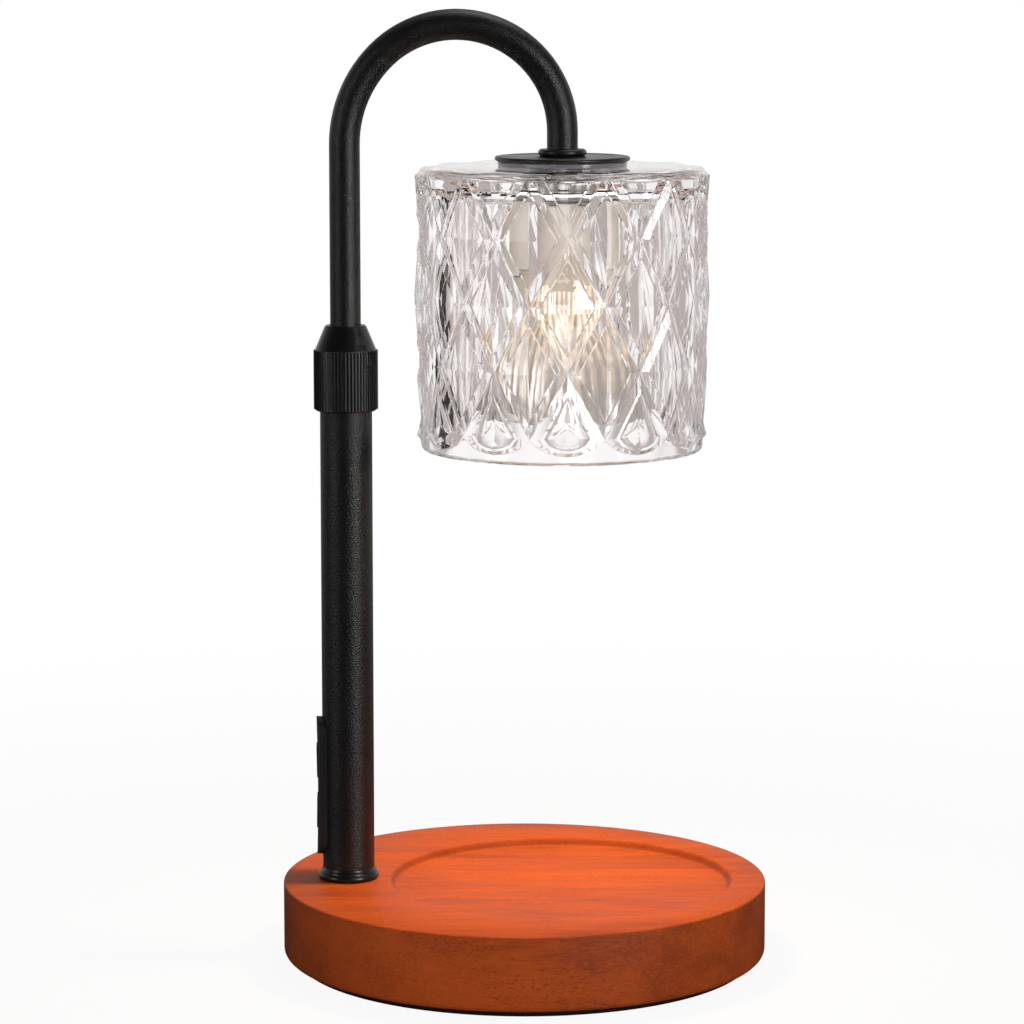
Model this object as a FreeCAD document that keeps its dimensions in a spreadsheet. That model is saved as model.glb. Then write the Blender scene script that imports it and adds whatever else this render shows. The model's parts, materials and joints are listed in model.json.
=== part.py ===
"""Candle warmer lamp: a halogen lamp on an adjustable gooseneck above a wooden candle seat.

Frame: origin at the centre of the base's underside, +Z up, +X from the column to the candle seat.
Lengths are millimetres and angles are degrees.
"""
import FreeCAD, Part
import math
import os
import re

import Sketcher

Vector = FreeCAD.Vector
Rotation = FreeCAD.Rotation
X_AXIS = Vector(1, 0, 0)
Y_AXIS = Vector(0, 1, 0)
Z_AXIS = Vector(0, 0, 1)
SIDES = ("1", "-1")

# The driving sizes. Each is one cell of the sheet "dims".
SIZES = {
    # overall
    "total_height": 293.8,
    "arm_reach": 66.2,
    "seat_shift": 11.4,
    "fit_gap": 0.05,
    "running_gap": 0.08,
    # wooden base and its foam pad
    "base_radius": 75.0,
    "base_height": 25.0,
    "edge_ease": 0.5,
    "foot_round": 2.0,
    "seat_radius": 53.2,
    "seat_slope": 1.2,
    "seat_depth": 2.0,
    "pad_radius": 71.0,
    "pad_thick": 2.0,
    # pockets under the base
    "nut_pocket_radius": 13.0,
    "nut_pocket_depth": 15.0,
    "block_pocket_length": 26.0,
    "block_pocket_width": 20.0,
    "block_pocket_depth": 11.0,
    "block_offset": 35.0,
    "channel_width": 9.0,
    "channel_depth": 7.0,
    # cable inlet at the back of the base
    "inlet_lift": 6.5,
    "bush_radius": 5.5,
    "bush_bore": 3.2,
    "bush_length": 14.0,
    "bush_recess": 0.4,
    # terminal block and lead
    "block_length": 16.0,
    "block_width": 14.0,
    "block_height": 9.8,
    "lead_radius": 1.4,
    "lead_lift": 3.0,
    "solder_gap": 0.4,
    "terminal_screw_radius": 1.6,
    "terminal_screw_depth": 5.0,
    "terminal_pitch": 7.0,
    # column fixing
    "nipple_radius": 4.0,
    "nipple_bore": 2.6,
    "nipple_clearance": 0.5,
    "nut_thick": 4.0,
    "nut_flats": 13.0,
    "washer_radius": 10.0,
    "washer_thick": 1.5,
    "nipple_tail": 0.5,
    "plug_height": 8.0,
    # column
    "column_radius": 8.0,
    "column_wall": 1.2,
    "column_length": 149.0,
    "ring_radius": 9.5,
    "ring_height": 4.7,
    "ring_lip": 1.6,
    "ring_edge": 0.35,
    # control panel on the column's back
    "panel_lift": 29.35,
    "panel_height": 43.5,
    "panel_width": 10.0,
    "panel_thick": 1.7,
    "panel_dip": 0.45,
    "window_width": 8.0,
    "window_height": 38.0,
    "post_radius": 2.0,
    "post_pitch": 33.0,
    "post_pilot": 0.85,
    "pilot_spare": 0.5,
    "key_width": 5.2,
    "key_height": 11.2,
    "key_pitch": 15.8,
    "key_gap": 0.15,
    "key_proud": 0.3,
    "key_flange_width": 7.2,
    "key_flange_height": 12.6,
    "key_flange_thick": 0.8,
    "key_flange_depth": 1.25,
    "plunger_radius": 0.8,
    "key_travel": 0.4,
    "switch_side": 6.0,
    "switch_height": 2.6,
    "switch_bore_depth": 2.2,
    "board_offset": 1.6,
    "board_thick": 1.2,
    "board_width": 10.4,
    "board_height": 38.8,
    "screw_head_radius": 1.6,
    "screw_head_thick": 1.0,
    "screw_length": 5.0,
    "light_radius": 0.9,
    "led_side": 2.0,
    "led_height": 1.4,
    # clamp at the column's top
    "clamp_insert": 11.0,
    "clamp_flange": 1.5,
    "nose_radius": 7.0,
    "nose_height": 9.5,
    "cone_seat_depth": 4.0,
    "cone_seat_radius": 6.0,
    "collet_reach": 3.2,
    "collet_slit": 0.8,
    "collet_flange": 3.0,
    "collet_flange_radius": 6.1,
    "collet_bead": 0.3,
    "skirt_lap": 2.3,
    "collar_radius": 9.75,
    "knurl_height": 17.9,
    "knurl_rim": 1.3,
    "knurl_depth": 0.4,
    "collar_cone_height": 8.3,
    "collar_cone_radius": 6.4,
    "collar_lip": 0.4,
    # gooseneck
    "neck_radius": 4.7,
    "neck_wall": 0.9,
    "neck_insert": 63.4,
    "hook_radius": 37.8,
    "arm_drop": 5.2,
    "guide_length": 8.6,
    "clip_radius": 5.9,
    "clip_thick": 1.0,
    "clip_groove": 0.4,
    "clip_margin": 1.2,
    "ring_section": 0.9,
    # arm end, cap and gasket over the glass
    "flange_radius": 7.4,
    "flange_height": 2.2,
    "cap_radius": 20.6,
    "cap_thick": 1.4,
    "gasket_radius": 19.75,
    "gasket_thick": 1.5,
    "arm_nipple_bore": 2.4,
    "arm_nipple_grip": 8.0,
    # glass shade
    "shade_radius": 45.2,
    "shade_height": 86.6,
    "shade_wall": 4.2,
    "facet_depth": 1.9,
    "band_height": 7.6,
    "rim_band": 2.9,
    "crown_thick": 7.0,
    "crown_hole": 5.0,
    "crown_radius": 42.9,
    "shoulder_drop": 2.4,
    "valley_drop": 1.2,
    "cavity_round": 4.0,
    "lattice_turn": 1.4,
    # under the glass
    "lower_gasket_radius": 10.0,
    "lower_gasket_thick": 1.0,
    "bracket_thick": 1.0,
    "shade_nut_thick": 3.0,
    "shade_nut_flats": 12.0,
    "holder_radius": 12.5,
    "holder_height": 20.5,
    "holder_recess_radius": 8.0,
    "holder_recess_depth": 5.0,
    "holder_floor": 3.0,
    "chamber_height": 3.6,
    "holder_screw_offset": 9.0,
    "holder_screw_radius": 1.2,
    "holder_screw_head": 2.4,
    "holder_screw_sink": 2.0,
    "contact_thick": 0.5,
    "contact_length": 4.0,
    "wire_radius": 0.6,
    "wire_hole": 1.1,
    # twist-lock halogen bulb
    "pin_offset": 5.0,
    "pin_neck": 1.5,
    "pin_head": 2.4,
    "pin_head_height": 2.8,
    "pin_gap": 0.2,
    "unlock_angle": 20.0,
    "bulb_gap": 0.3,
    "bulb_radius": 25.0,
    "bulb_length": 45.0,
    "bulb_base_radius": 10.4,
    "bulb_base_height": 13.2,
    "bulb_shoulder": 4.0,
    "bulb_neck_lap": 4.5,
    "bulb_glass": 1.5,
    "bulb_rim": 4.2,
    "reflector_bow": 40.0,
    "bulb_lens_thick": 1.8,
    "bulb_lens_inset": 0.9,
    "capsule_radius": 4.2,
    "capsule_length": 19.0,
}
HEXAGON = 6
LOBES = 12
KNURL_RIBS = 60
LATTICE_ROWS = 4
COLLET_SLITS = 4
PIN_ANGLES = (0, 180)
LEAD_WAVES = 4

# Places and sizes that follow from the driving ones, written as rules.
PLACES = {
    "column_x": "seat_shift - arm_reach",
    "block_x": "column_x + block_offset",
    "seat_floor": "base_height - seat_depth",
    "nut_pocket_roof": "pad_thick + nut_pocket_depth",
    "block_pocket_roof": "pad_thick + block_pocket_depth",
    "washer_foot": "nut_pocket_roof - washer_thick",
    "nut_foot": "washer_foot - nut_thick",
    "nipple_foot": "nut_foot - nipple_tail",
    "nipple_head": "base_height + plug_height",
    "lead_run_z": "pad_thick + lead_lift",
    "lead_bend": "nipple_foot - lead_run_z",
    "inlet_z": "pad_thick + inlet_lift",
    "bush_outer_y": "sqrt(pow(base_radius; 2) - pow(abs(block_x) + bush_radius; 2)) - bush_recess",
    "column_bore": "column_radius - column_wall",
    "column_top": "base_height + column_length",
    "panel_z": "base_height + panel_lift",
    "panel_face": "column_radius + fit_gap + panel_thick",
    "saddle_radius": "pow(panel_height; 2) / (8 * panel_dip) + panel_dip / 2",
    "board_face": "board_offset + board_thick",
    "switch_face": "board_face + switch_height",
    "plunger_end": "switch_face - switch_bore_depth + key_travel + 2 * running_gap",
    "flange_face": "column_radius - key_flange_depth",
    "flange_back": "flange_face - key_flange_thick",
    "clamp_shoulder": "column_top + clamp_flange",
    "nose_top": "clamp_shoulder + nose_height",
    "collar_foot": "column_top - skirt_lap",
    "knurl_top": "collar_foot + knurl_height",
    "collar_top": "knurl_top + collar_cone_height",
    "collet_bore": "neck_radius + running_gap",
    "cone_slope": "(cone_seat_radius - collet_bore - running_gap) / cone_seat_depth",
    "recess_radius": "collet_flange_radius + running_gap",
    "neck_foot": "collar_top - neck_insert",
    "neck_bore": "neck_radius - neck_wall",
    "lower_clip_z": "neck_foot + clip_margin",
    "guide_foot": "lower_clip_z + clip_thick + fit_gap + fit_gap",
    "upper_clip_z": "guide_foot + guide_length + fit_gap + fit_gap",
    "hook_end_radius": "(arm_reach - hook_radius * (1 - sqrt(0.5))) / (1 + sqrt(0.5))",
    "hook_end_z": "total_height - neck_radius - hook_end_radius",
    "hook_start_z": "hook_end_z - (hook_radius - hook_end_radius) * sqrt(0.5)",
    "arm_end_z": "hook_end_z - arm_drop",
    "cap_top": "arm_end_z - flange_height",
    "gasket_top": "cap_top - cap_thick",
    "glass_top": "gasket_top - gasket_thick",
    "glass_foot": "glass_top - shade_height",
    "cavity_radius": "shade_radius - facet_depth - shade_wall",
    "ceiling_z": "glass_top - crown_thick",
    "lattice_pitch": "(shade_height - band_height) / 4",
    "bracket_top": "ceiling_z - lower_gasket_thick",
    "holder_top": "bracket_top - bracket_thick",
    "holder_foot": "holder_top - holder_height",
    "shade_nut_foot": "holder_top - shade_nut_thick",
    "arm_nipple_foot": "shade_nut_foot - nipple_tail",
    "recess_floor": "holder_top - holder_recess_depth",
    "wire_z": "arm_nipple_foot - fit_gap - wire_radius",
    "chamber_floor": "holder_foot + holder_floor",
    "chamber_roof": "chamber_floor + chamber_height",
    "contact_z": "chamber_roof - contact_thick",
    "bulb_top": "holder_foot - bulb_gap",
    "bulb_face": "bulb_top - bulb_length",
    "bulb_base_foot": "bulb_top - bulb_base_height",
    "neck_lap_radius": "bulb_base_radius - bulb_glass - fit_gap",
    "pin_head_foot": "chamber_floor + pin_gap",
}

doc = FreeCAD.newDocument("candle_warmer_lamp")
dims = doc.addObject("Spreadsheet::Sheet", "dims")
NODES = []


def fill_sheet():
    """Write each driving size to its own named cell."""
    for row, (alias, size) in enumerate(SIZES.items(), start=1):
        dims.set(f"A{row}", alias)
        dims.set(f"B{row}", str(size))
        dims.setAlias(f"B{row}", alias)
    doc.recompute()


def bound(rule):
    """Return a rule as an expression on the sheet's cells."""
    def swap(match):
        """Replace a place by its rule, and a size by its cell."""
        name = match.group(0)
        if name in PLACES:
            return f"({bound(PLACES[name])})"
        if name in SIZES:
            return f"dims.{name}"
        return name
    return re.sub(r"[a-z][a-z_]*", swap, rule)


def size(rule):
    """Return a rule's present value as a number."""
    return float(dims.evalExpression(bound(rule)))


def bind(piece, **rules):
    """Bind properties of a piece to rules."""
    for name, rule in rules.items():
        piece.setExpression(name, bound(rule))
    return piece


def place(piece, x="0", y="0", z="0", turn=None):
    """Put a piece at a bound place, turned by a fixed rotation."""
    if turn is not None:
        piece.Placement = FreeCAD.Placement(Vector(), turn)
    for axis, rule in zip("xyz", (x, y, z)):
        piece.setExpression(f"Placement.Base.{axis}", bound(rule))
    return piece


def keep(label, piece):
    """Name a finished sub-part."""
    piece.Label = label
    NODES.append(piece)
    return piece


# ---------------------------------------------------------------- primitives and booleans

TO_COLUMN_BACK = Rotation(Y_AXIS, -90)
ALONG_X = Rotation(Y_AXIS, 90)
ALONG_Y = Rotation(X_AXIS, -90)
IN_XZ_PLANE = Rotation(X_AXIS, 90)


def cylinder(name, radius, height, x="0", y="0", z="0", turn=None):
    """A cylinder standing on its place."""
    piece = doc.addObject("Part::Cylinder", name)
    bind(piece, Radius=radius, Height=height)
    return place(piece, x, y, z, turn)


def cone(name, low_radius, high_radius, height, x="0", y="0", z="0"):
    """An upright cone standing on its place."""
    piece = doc.addObject("Part::Cone", name)
    bind(piece, Radius1=low_radius, Radius2=high_radius, Height=height)
    return place(piece, x, y, z)


def block(name, lengths, x="0", y="0", z="0"):
    """A box centred on its place in x and y, standing on z."""
    piece = doc.addObject("Part::Box", name)
    bind(piece, Length=lengths[0], Width=lengths[1], Height=lengths[2])
    return place(piece, f"{x} - ({lengths[0]}) / 2", f"{y} - ({lengths[1]}) / 2", z)


def elbow(name, bend, section, sweep, x="0", z="0", start=0.0):
    """Part of a ring in the XZ plane, from a start angle above +X."""
    piece = doc.addObject("Part::Torus", name)
    bind(piece, Radius1=bend, Radius2=section)
    piece.Angle3 = sweep
    return place(piece, x, "0", z, IN_XZ_PLANE.multiply(Rotation(Z_AXIS, start)))


def prism(name, corners, flats, height, x="0", z="0"):
    """An upright regular prism, given its width across the flats."""
    piece = doc.addObject("Part::Prism", name)
    piece.Polygon = corners
    bind(piece, Circumradius=f"({flats}) / 2 / cos(180 / {corners})", Height=height)
    return place(piece, x, "0", z)


def fuse(name, *pieces):
    """Join pieces into one."""
    joined = doc.addObject("Part::MultiFuse", name)
    joined.Shapes = list(pieces)
    return joined


def cut(name, base, *tools):
    """Take tools away from a base."""
    result = doc.addObject("Part::Cut", name)
    result.Base = base
    result.Tool = tools[0] if len(tools) == 1 else fuse(f"{name}_tools", *tools)
    return result


def common(name, first, second):
    """Keep what two pieces share."""
    result = doc.addObject("Part::Common", name)
    result.Base = first
    result.Tool = second
    return result


def group(name, *pieces):
    """Keep pieces as separate solids of one sub-part."""
    result = doc.addObject("Part::Compound", name)
    result.Links = list(pieces)
    return result


def ring(name, outer, inner, height, x="0", z="0"):
    """A flat ring standing on its place."""
    rim = cylinder(f"{name}_rim", outer, height, x, "0", z)
    hole = cylinder(f"{name}_hole", inner, height, x, "0", z)
    return cut(name, rim, hole)


def turned(name, outline, x="0", y="0", z="0", turn=None):
    """A body of revolution about its own upright axis.

    The outline is a closed run of corners, each a (radius, height) pair of rules. A third rule is
    the radius of the arc that leads to that corner from the one before it, bowed away from the axis.
    """
    body = doc.addObject("PartDesign::Body", name)
    sketch = body.newObject("Sketcher::SketchObject", f"{name}_outline")
    plane = [item for item in body.Origin.OriginFeatures if item.Role == "XZ_Plane"][0]
    sketch.AttachmentSupport = [(plane, "")]
    sketch.MapMode = "FlatFace"
    corners = [Vector(size(corner[0]), size(corner[1]), 0) for corner in outline]
    starts = []
    ends = []
    for index, corner in enumerate(outline):
        first = corners[index - 1]
        last = corners[index]
        if len(corner) > 2:
            edge = sketch.addGeometry(bowed(first, last, size(corner[2])), False)
        else:
            edge = sketch.addGeometry(Part.LineSegment(first, last), False)
        forward = (sketch.getPoint(edge, 1) - first).Length < (sketch.getPoint(edge, 2) - first).Length
        starts.append((edge, 1 if forward else 2))
        ends.append((edge, 2 if forward else 1))
    for index in range(len(outline)):
        following = starts[(index + 1) % len(outline)]
        sketch.addConstraint(Sketcher.Constraint("Coincident", *ends[index], *following))
    for index, corner in enumerate(outline):
        for kind, rule, number in (("DistanceX", corner[0], corners[index].x),
                                   ("DistanceY", corner[1], corners[index].y)):
            row = sketch.addConstraint(Sketcher.Constraint(kind, -1, 1, *ends[index], number))
            sketch.setExpression(f"Constraints[{row}]", bound(rule))
        if len(corner) > 2:
            row = sketch.addConstraint(Sketcher.Constraint("Radius", ends[index][0], size(corner[2])))
            sketch.setExpression(f"Constraints[{row}]", bound(corner[2]))
    spin = body.newObject("PartDesign::Revolution", f"{name}_spin")
    spin.Profile = sketch
    spin.ReferenceAxis = (sketch, ["V_Axis"])
    spin.Angle = 360
    return place(body, x, y, z, turn)


def bowed(first, last, radius):
    """An arc of a given radius between two points, bowed away from the axis."""
    chord = last - first
    middle = (first + last) * 0.5
    side = Vector(abs(chord.y), -chord.x if chord.y > 0 else chord.x, 0)
    side.normalize()
    rise = radius - math.sqrt(radius ** 2 - (chord.Length / 2) ** 2)
    return Part.Arc(first, middle + side * rise, last)


# ---------------------------------------------------------------- base

def make_base():
    """The wooden disc with its candle seat, column hole, cable inlet and the pockets underneath."""
    disc = turned("disc", [
        ("0", "pad_thick"),
        ("base_radius - foot_round", "pad_thick"),
        ("base_radius", "pad_thick + foot_round", "foot_round"),
        ("base_radius", "base_height - edge_ease"),
        ("base_radius - edge_ease", "base_height"),
        ("0", "base_height"),
    ])
    seat = cone("seat_cut", "seat_radius - seat_slope", "seat_radius", "seat_depth",
                x="seat_shift", z="seat_floor")
    hole = cylinder("column_hole", "nipple_radius + nipple_clearance", "base_height", "column_x")
    nut_pocket = cylinder("nut_pocket", "nut_pocket_radius", "nut_pocket_roof", "column_x")
    block_pocket = block("block_pocket", ("block_pocket_length", "block_pocket_width", "block_pocket_roof"),
                         "block_x")
    channel = block("channel", ("block_offset", "channel_width", "pad_thick + channel_depth"),
                    "(column_x + block_x) / 2")
    inlet = cylinder("inlet_hole", "bush_radius + fit_gap", "base_radius", "block_x", z="inlet_z",
                     turn=ALONG_Y)
    keep("wood_base", cut("wood", disc, seat, hole, nut_pocket, block_pocket, channel, inlet))
    keep("foam_pad", cylinder("pad", "pad_radius", "pad_thick"))


def make_inlet():
    """The cable bush at the back, and the terminal block that a mains lead is joined in."""
    barrel = cylinder("bush_barrel", "bush_radius", "bush_length", "block_x",
                      "bush_outer_y - bush_length", "inlet_z", ALONG_Y)
    bore = cylinder("bush_hole", "bush_bore", "bush_length", "block_x",
                    "bush_outer_y - bush_length", "inlet_z", ALONG_Y)
    keep("cable_bush", cut("bush", barrel, bore))
    shell = block("block_shell", ("block_length", "block_width", "block_height"), "block_x",
                  z="block_pocket_roof - block_height")
    wells = []
    screws = []
    for number, side in enumerate(SIDES):
        offset = f"{side} * terminal_pitch / 2"
        wells.append(cylinder(f"well{number}", "terminal_screw_radius + fit_gap", "terminal_screw_depth",
                              "block_x", offset, "block_pocket_roof - block_height"))
        screws.append(cylinder(f"terminal_screw{number}", "terminal_screw_radius",
                               "terminal_screw_depth - 2 * fit_gap", "block_x", offset,
                               "block_pocket_roof - block_height + fit_gap"))
    entry = cylinder("lead_entry", "lead_radius + fit_gap", "block_length / 4",
                     "block_x - block_length / 2", z="lead_run_z", turn=ALONG_X)
    keep("terminal_block", cut("blocks", shell, *wells, entry))
    keep("terminal_screws", group("screws", *screws))


def make_base_lead():
    """The lead from the terminal block to the control board, up through the nipple."""
    run = cylinder("lead_run", "lead_radius", "block_offset - lead_bend - block_length / 4",
                   "column_x + lead_bend", z="lead_run_z", turn=ALONG_X)
    turn = elbow("lead_turn", "lead_bend", "lead_radius", 90, "column_x + lead_bend", "nipple_foot", 180)
    rise = cylinder("lead_rise", "lead_radius",
                    "panel_z - board_height / 2 - solder_gap - nipple_foot", "column_x", z="nipple_foot")
    keep("base_lead", fuse("leads", run, turn, rise))


def make_column_fixing():
    """The hollow stud, washer and nut that hold the column down, and the plug in its foot."""
    keep("column_nipple", ring("nipple", "nipple_radius", "nipple_bore", "nipple_head - nipple_foot",
                               "column_x", "nipple_foot"))
    keep("column_washer", ring("washer", "washer_radius", "nipple_radius + fit_gap", "washer_thick",
                               "column_x", "washer_foot"))
    hexagon = prism("nut_blank", HEXAGON, "nut_flats", "nut_thick", "column_x", "nut_foot")
    thread = cylinder("nut_thread", "nipple_radius + fit_gap", "nut_thick", "column_x", z="nut_foot")
    keep("column_nut", cut("nut", hexagon, thread))
    keep("column_plug", ring("plug", "column_bore - fit_gap", "nipple_radius + fit_gap", "plug_height",
                             "column_x", "base_height"))


# ---------------------------------------------------------------- column and control panel

def make_column():
    """The lower tube with its window, and the flared ring round its foot."""
    tube = ring("tube", "column_radius", "column_bore", "column_length", "column_x", "base_height")
    window = block("window", ("column_radius", "window_width", "window_height"),
                   "column_x - column_radius / 2 - column_bore / 2", z="panel_z - window_height / 2")
    keep("column_tube", cut("column", tube, window))
    keep("foot_ring", turned("foot", [
        ("column_radius + fit_gap", "0"),
        ("ring_radius", "0"),
        ("ring_radius", "ring_lip"),
        ("column_radius + ring_edge", "ring_height"),
        ("column_radius + fit_gap", "ring_height"),
    ], x="column_x", z="base_height"))


def back_block(name, depth, width, height, face, z):
    """A box behind the column, its outer face at a distance from the column's axis."""
    return block(name, (depth, width, height), f"column_x - ({face}) + ({depth}) / 2",
                 z=f"{z} - ({height}) / 2")


def back_pin(name, radius, start, length, z):
    """A round pin behind the column that starts at a distance from its axis and points outwards."""
    return cylinder(name, radius, length, f"column_x - ({start})", "0", z, TO_COLUMN_BACK)


def pill(name, width, height, z):
    """A tall outline with round ends, run through the column's back wall and past the panel."""
    width = f"({width})"
    height = f"({height})"
    straight = back_block(f"{name}_straight", "panel_face", width, f"{height} - {width}",
                          "panel_face * 3 / 2", z)
    ends = [back_pin(f"{name}_end{number}", f"{width} / 2", "panel_face / 2", "panel_face",
                     f"{z} {sign} ({height} - {width}) / 2") for number, sign in enumerate("+-")]
    return fuse(name, straight, *ends)


def panel_skin(name, proud):
    """All that lies inside the panel's saddle-shaped outer face, moved out by a distance."""
    drum = cylinder(f"{name}_drum", f"panel_face + {proud}", "panel_height", "column_x",
                    z="panel_z - panel_height / 2")
    saddle = cylinder(f"{name}_saddle", "saddle_radius", "column_radius * 4",
                      f"column_x - panel_face - ({proud}) + panel_dip - saddle_radius",
                      "-2 * column_radius", "panel_z", ALONG_Y)
    return cut(name, drum, saddle)


KEY_RULES = (("power_key_cap", "panel_z + key_pitch / 2"), ("timer_key_cap", "panel_z - key_pitch / 2"))
POST_SIDES = ("+", "-")


def make_panel():
    """The saddle-shaped bezel on the column's back, with its two screw posts."""
    outline = pill("panel_outline", "panel_width", "panel_height", "panel_z")
    hollow = cylinder("panel_hollow", "column_radius + fit_gap", "panel_height", "column_x",
                      z="panel_z - panel_height / 2")
    plate = cut("panel_plate", common("panel_face_part", panel_skin("panel_skin", "0"), outline), hollow)
    posts = []
    pilots = []
    for number, sign in enumerate(POST_SIDES):
        z = f"panel_z {sign} post_pitch / 2"
        posts.append(back_pin(f"post{number}", "post_radius", "board_face",
                              "column_radius + panel_thick / 2 - board_face", z))
        pilots.append(back_pin(f"pilot{number}", "post_pilot + fit_gap", "board_face",
                               "screw_length - board_thick + pilot_spare", z))
    openings = [pill(f"{label}_hole", "key_width + 2 * key_gap", "key_height + 2 * key_gap", z)
                for label, z in KEY_RULES]
    light = back_pin("light_hole", "light_radius + fit_gap", "column_radius", "panel_thick * 2", "panel_z")
    keep("control_bezel", cut("bezel", fuse("bezel_blank", plate, *posts), *pilots, *openings, light))


def make_board():
    """The board inside the column with its switches, indicator light and screws."""
    board = back_block("board_blank", "board_thick", "board_width", "board_height", "board_face", "panel_z")
    holes = []
    screws = []
    for number, sign in enumerate(POST_SIDES):
        z = f"panel_z {sign} post_pitch / 2"
        holes.append(back_pin(f"board_hole{number}", "post_pilot + fit_gap", "board_offset",
                              "board_thick", z))
        head = back_pin(f"board_head{number}", "screw_head_radius", "board_offset - screw_head_thick",
                        "screw_head_thick", z)
        shank = back_pin(f"board_shank{number}", "post_pilot", "board_offset", "screw_length", z)
        screws.append(fuse(f"board_screw{number}", head, shank))
    keep("control_board", cut("board", board, *holes))
    keep("board_screws", group("board_screw_pair", *screws))
    switches = []
    for number, (label, z) in enumerate(KEY_RULES):
        case = back_block(f"switch_case{number}", "switch_height", "switch_side", "switch_side",
                          "switch_face", z)
        bore = back_pin(f"switch_bore{number}", "plunger_radius + running_gap",
                        "switch_face - switch_bore_depth", "switch_bore_depth", z)
        switches.append(cut(f"switch{number}", case, bore))
    keep("tact_switches", group("switches", *switches))
    keep("indicator_led", back_block("led", "led_height", "led_side", "led_side",
                                     "board_face + led_height", "panel_z"))
    keep("light_pipe", back_pin("pipe", "light_radius", "board_face + led_height + fit_gap",
                                "panel_face - panel_dip - board_face - led_height - fit_gap", "panel_z"))


def make_key(label, z):
    """One key: a cap that follows the saddle, a flange that keeps it in, and a plunger."""
    skin = panel_skin(f"{label}_skin", "key_proud")
    column = pill(f"{label}_pill", "key_width", "key_height", z)
    core = cylinder(f"{label}_core", "flange_face", "panel_height", "column_x",
                    z="panel_z - panel_height / 2")
    cap = cut(f"{label}_cap_part", common(f"{label}_face", skin, column), core)
    neck = back_block(f"{label}_neck", "column_radius - flange_back", "key_width", "key_height - key_width",
                      "column_radius", z)
    flange = back_block(f"{label}_flange", "key_flange_thick", "key_flange_width", "key_flange_height",
                        "flange_face", z)
    plunger = back_pin(f"{label}_plunger", "plunger_radius", "plunger_end", "flange_face - plunger_end", z)
    keep(label, fuse(f"{label}_whole", cap, neck, flange, plunger))


# ---------------------------------------------------------------- clamp

def make_clamp():
    """The bush in the column's top, with the thread and cone seat that the collar works on."""
    keep("clamp_bush", turned("clamp", [
        ("collet_bore", "column_top - clamp_insert"),
        ("column_bore - fit_gap", "column_top - clamp_insert"),
        ("column_bore - fit_gap", "column_top"),
        ("column_radius", "column_top"),
        ("column_radius", "clamp_shoulder"),
        ("nose_radius", "clamp_shoulder"),
        ("nose_radius", "nose_top"),
        ("cone_seat_radius", "nose_top"),
        ("collet_bore + running_gap", "nose_top - cone_seat_depth"),
        ("collet_bore", "nose_top - cone_seat_depth"),
    ], x="column_x"))


def make_collet():
    """The split ring that the collar presses on the gooseneck; its bead snaps into the collar."""
    blank = turned("collet", [
        ("collet_bore", "nose_top - collet_reach"),
        ("cone_seat_radius - cone_slope * collet_reach - running_gap", "nose_top - collet_reach"),
        ("cone_seat_radius - running_gap", "nose_top"),
        ("cone_seat_radius - running_gap", "nose_top + running_gap"),
        ("collet_flange_radius", "nose_top + running_gap"),
        ("collet_flange_radius", "nose_top + collet_flange / 3"),
        ("collet_flange_radius + collet_bead", "nose_top + collet_flange / 3"),
        ("collet_flange_radius + collet_bead", "nose_top + collet_flange * 2 / 3"),
        ("collet_flange_radius", "nose_top + collet_flange * 2 / 3"),
        ("collet_flange_radius", "nose_top + collet_flange"),
        ("collet_bore", "nose_top + collet_flange"),
    ], x="column_x")
    slits = []
    for number in range(COLLET_SLITS // 2):
        slit = doc.addObject("Part::Box", f"slit{number}")
        bind(slit, Length="collet_flange_radius * 4", Width="collet_slit", Height="cone_seat_depth")
        turn = Rotation(Z_AXIS, number * 360 / COLLET_SLITS)
        centre = turn.multVec(Vector(1, 0, 0))
        place(slit, f"column_x - {centre.x} * collet_flange_radius * 2 + {centre.y} * collet_slit / 2",
              f"-1 * {centre.y} * collet_flange_radius * 2 - {centre.x} * collet_slit / 2",
              "nose_top - cone_seat_depth", turn)
        slits.append(slit)
    keep("clamp_collet", cut("split_collet", blank, *slits))


def knurl_tool():
    """The grooves between the collar's ribs, as one ring with a toothed inside."""
    outer = size("collar_radius")
    root = outer - size("knurl_depth")
    height = size("knurl_height - knurl_rim")
    points = []
    for number in range(2 * KNURL_RIBS + 1):
        angle = math.pi * number / KNURL_RIBS
        reach = outer if number % 2 else root
        points.append(Vector(reach * math.cos(angle), reach * math.sin(angle), 0))
    teeth = Part.Face(Part.makePolygon(points)).extrude(Vector(0, 0, height))
    sleeve = Part.makeCylinder(outer + size("knurl_depth"), height)
    tool = doc.addObject("Part::Feature", "knurl_grooves")
    tool.Shape = sleeve.cut(teeth)
    return place(tool, "column_x", "0", "collar_foot + knurl_rim")


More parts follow.
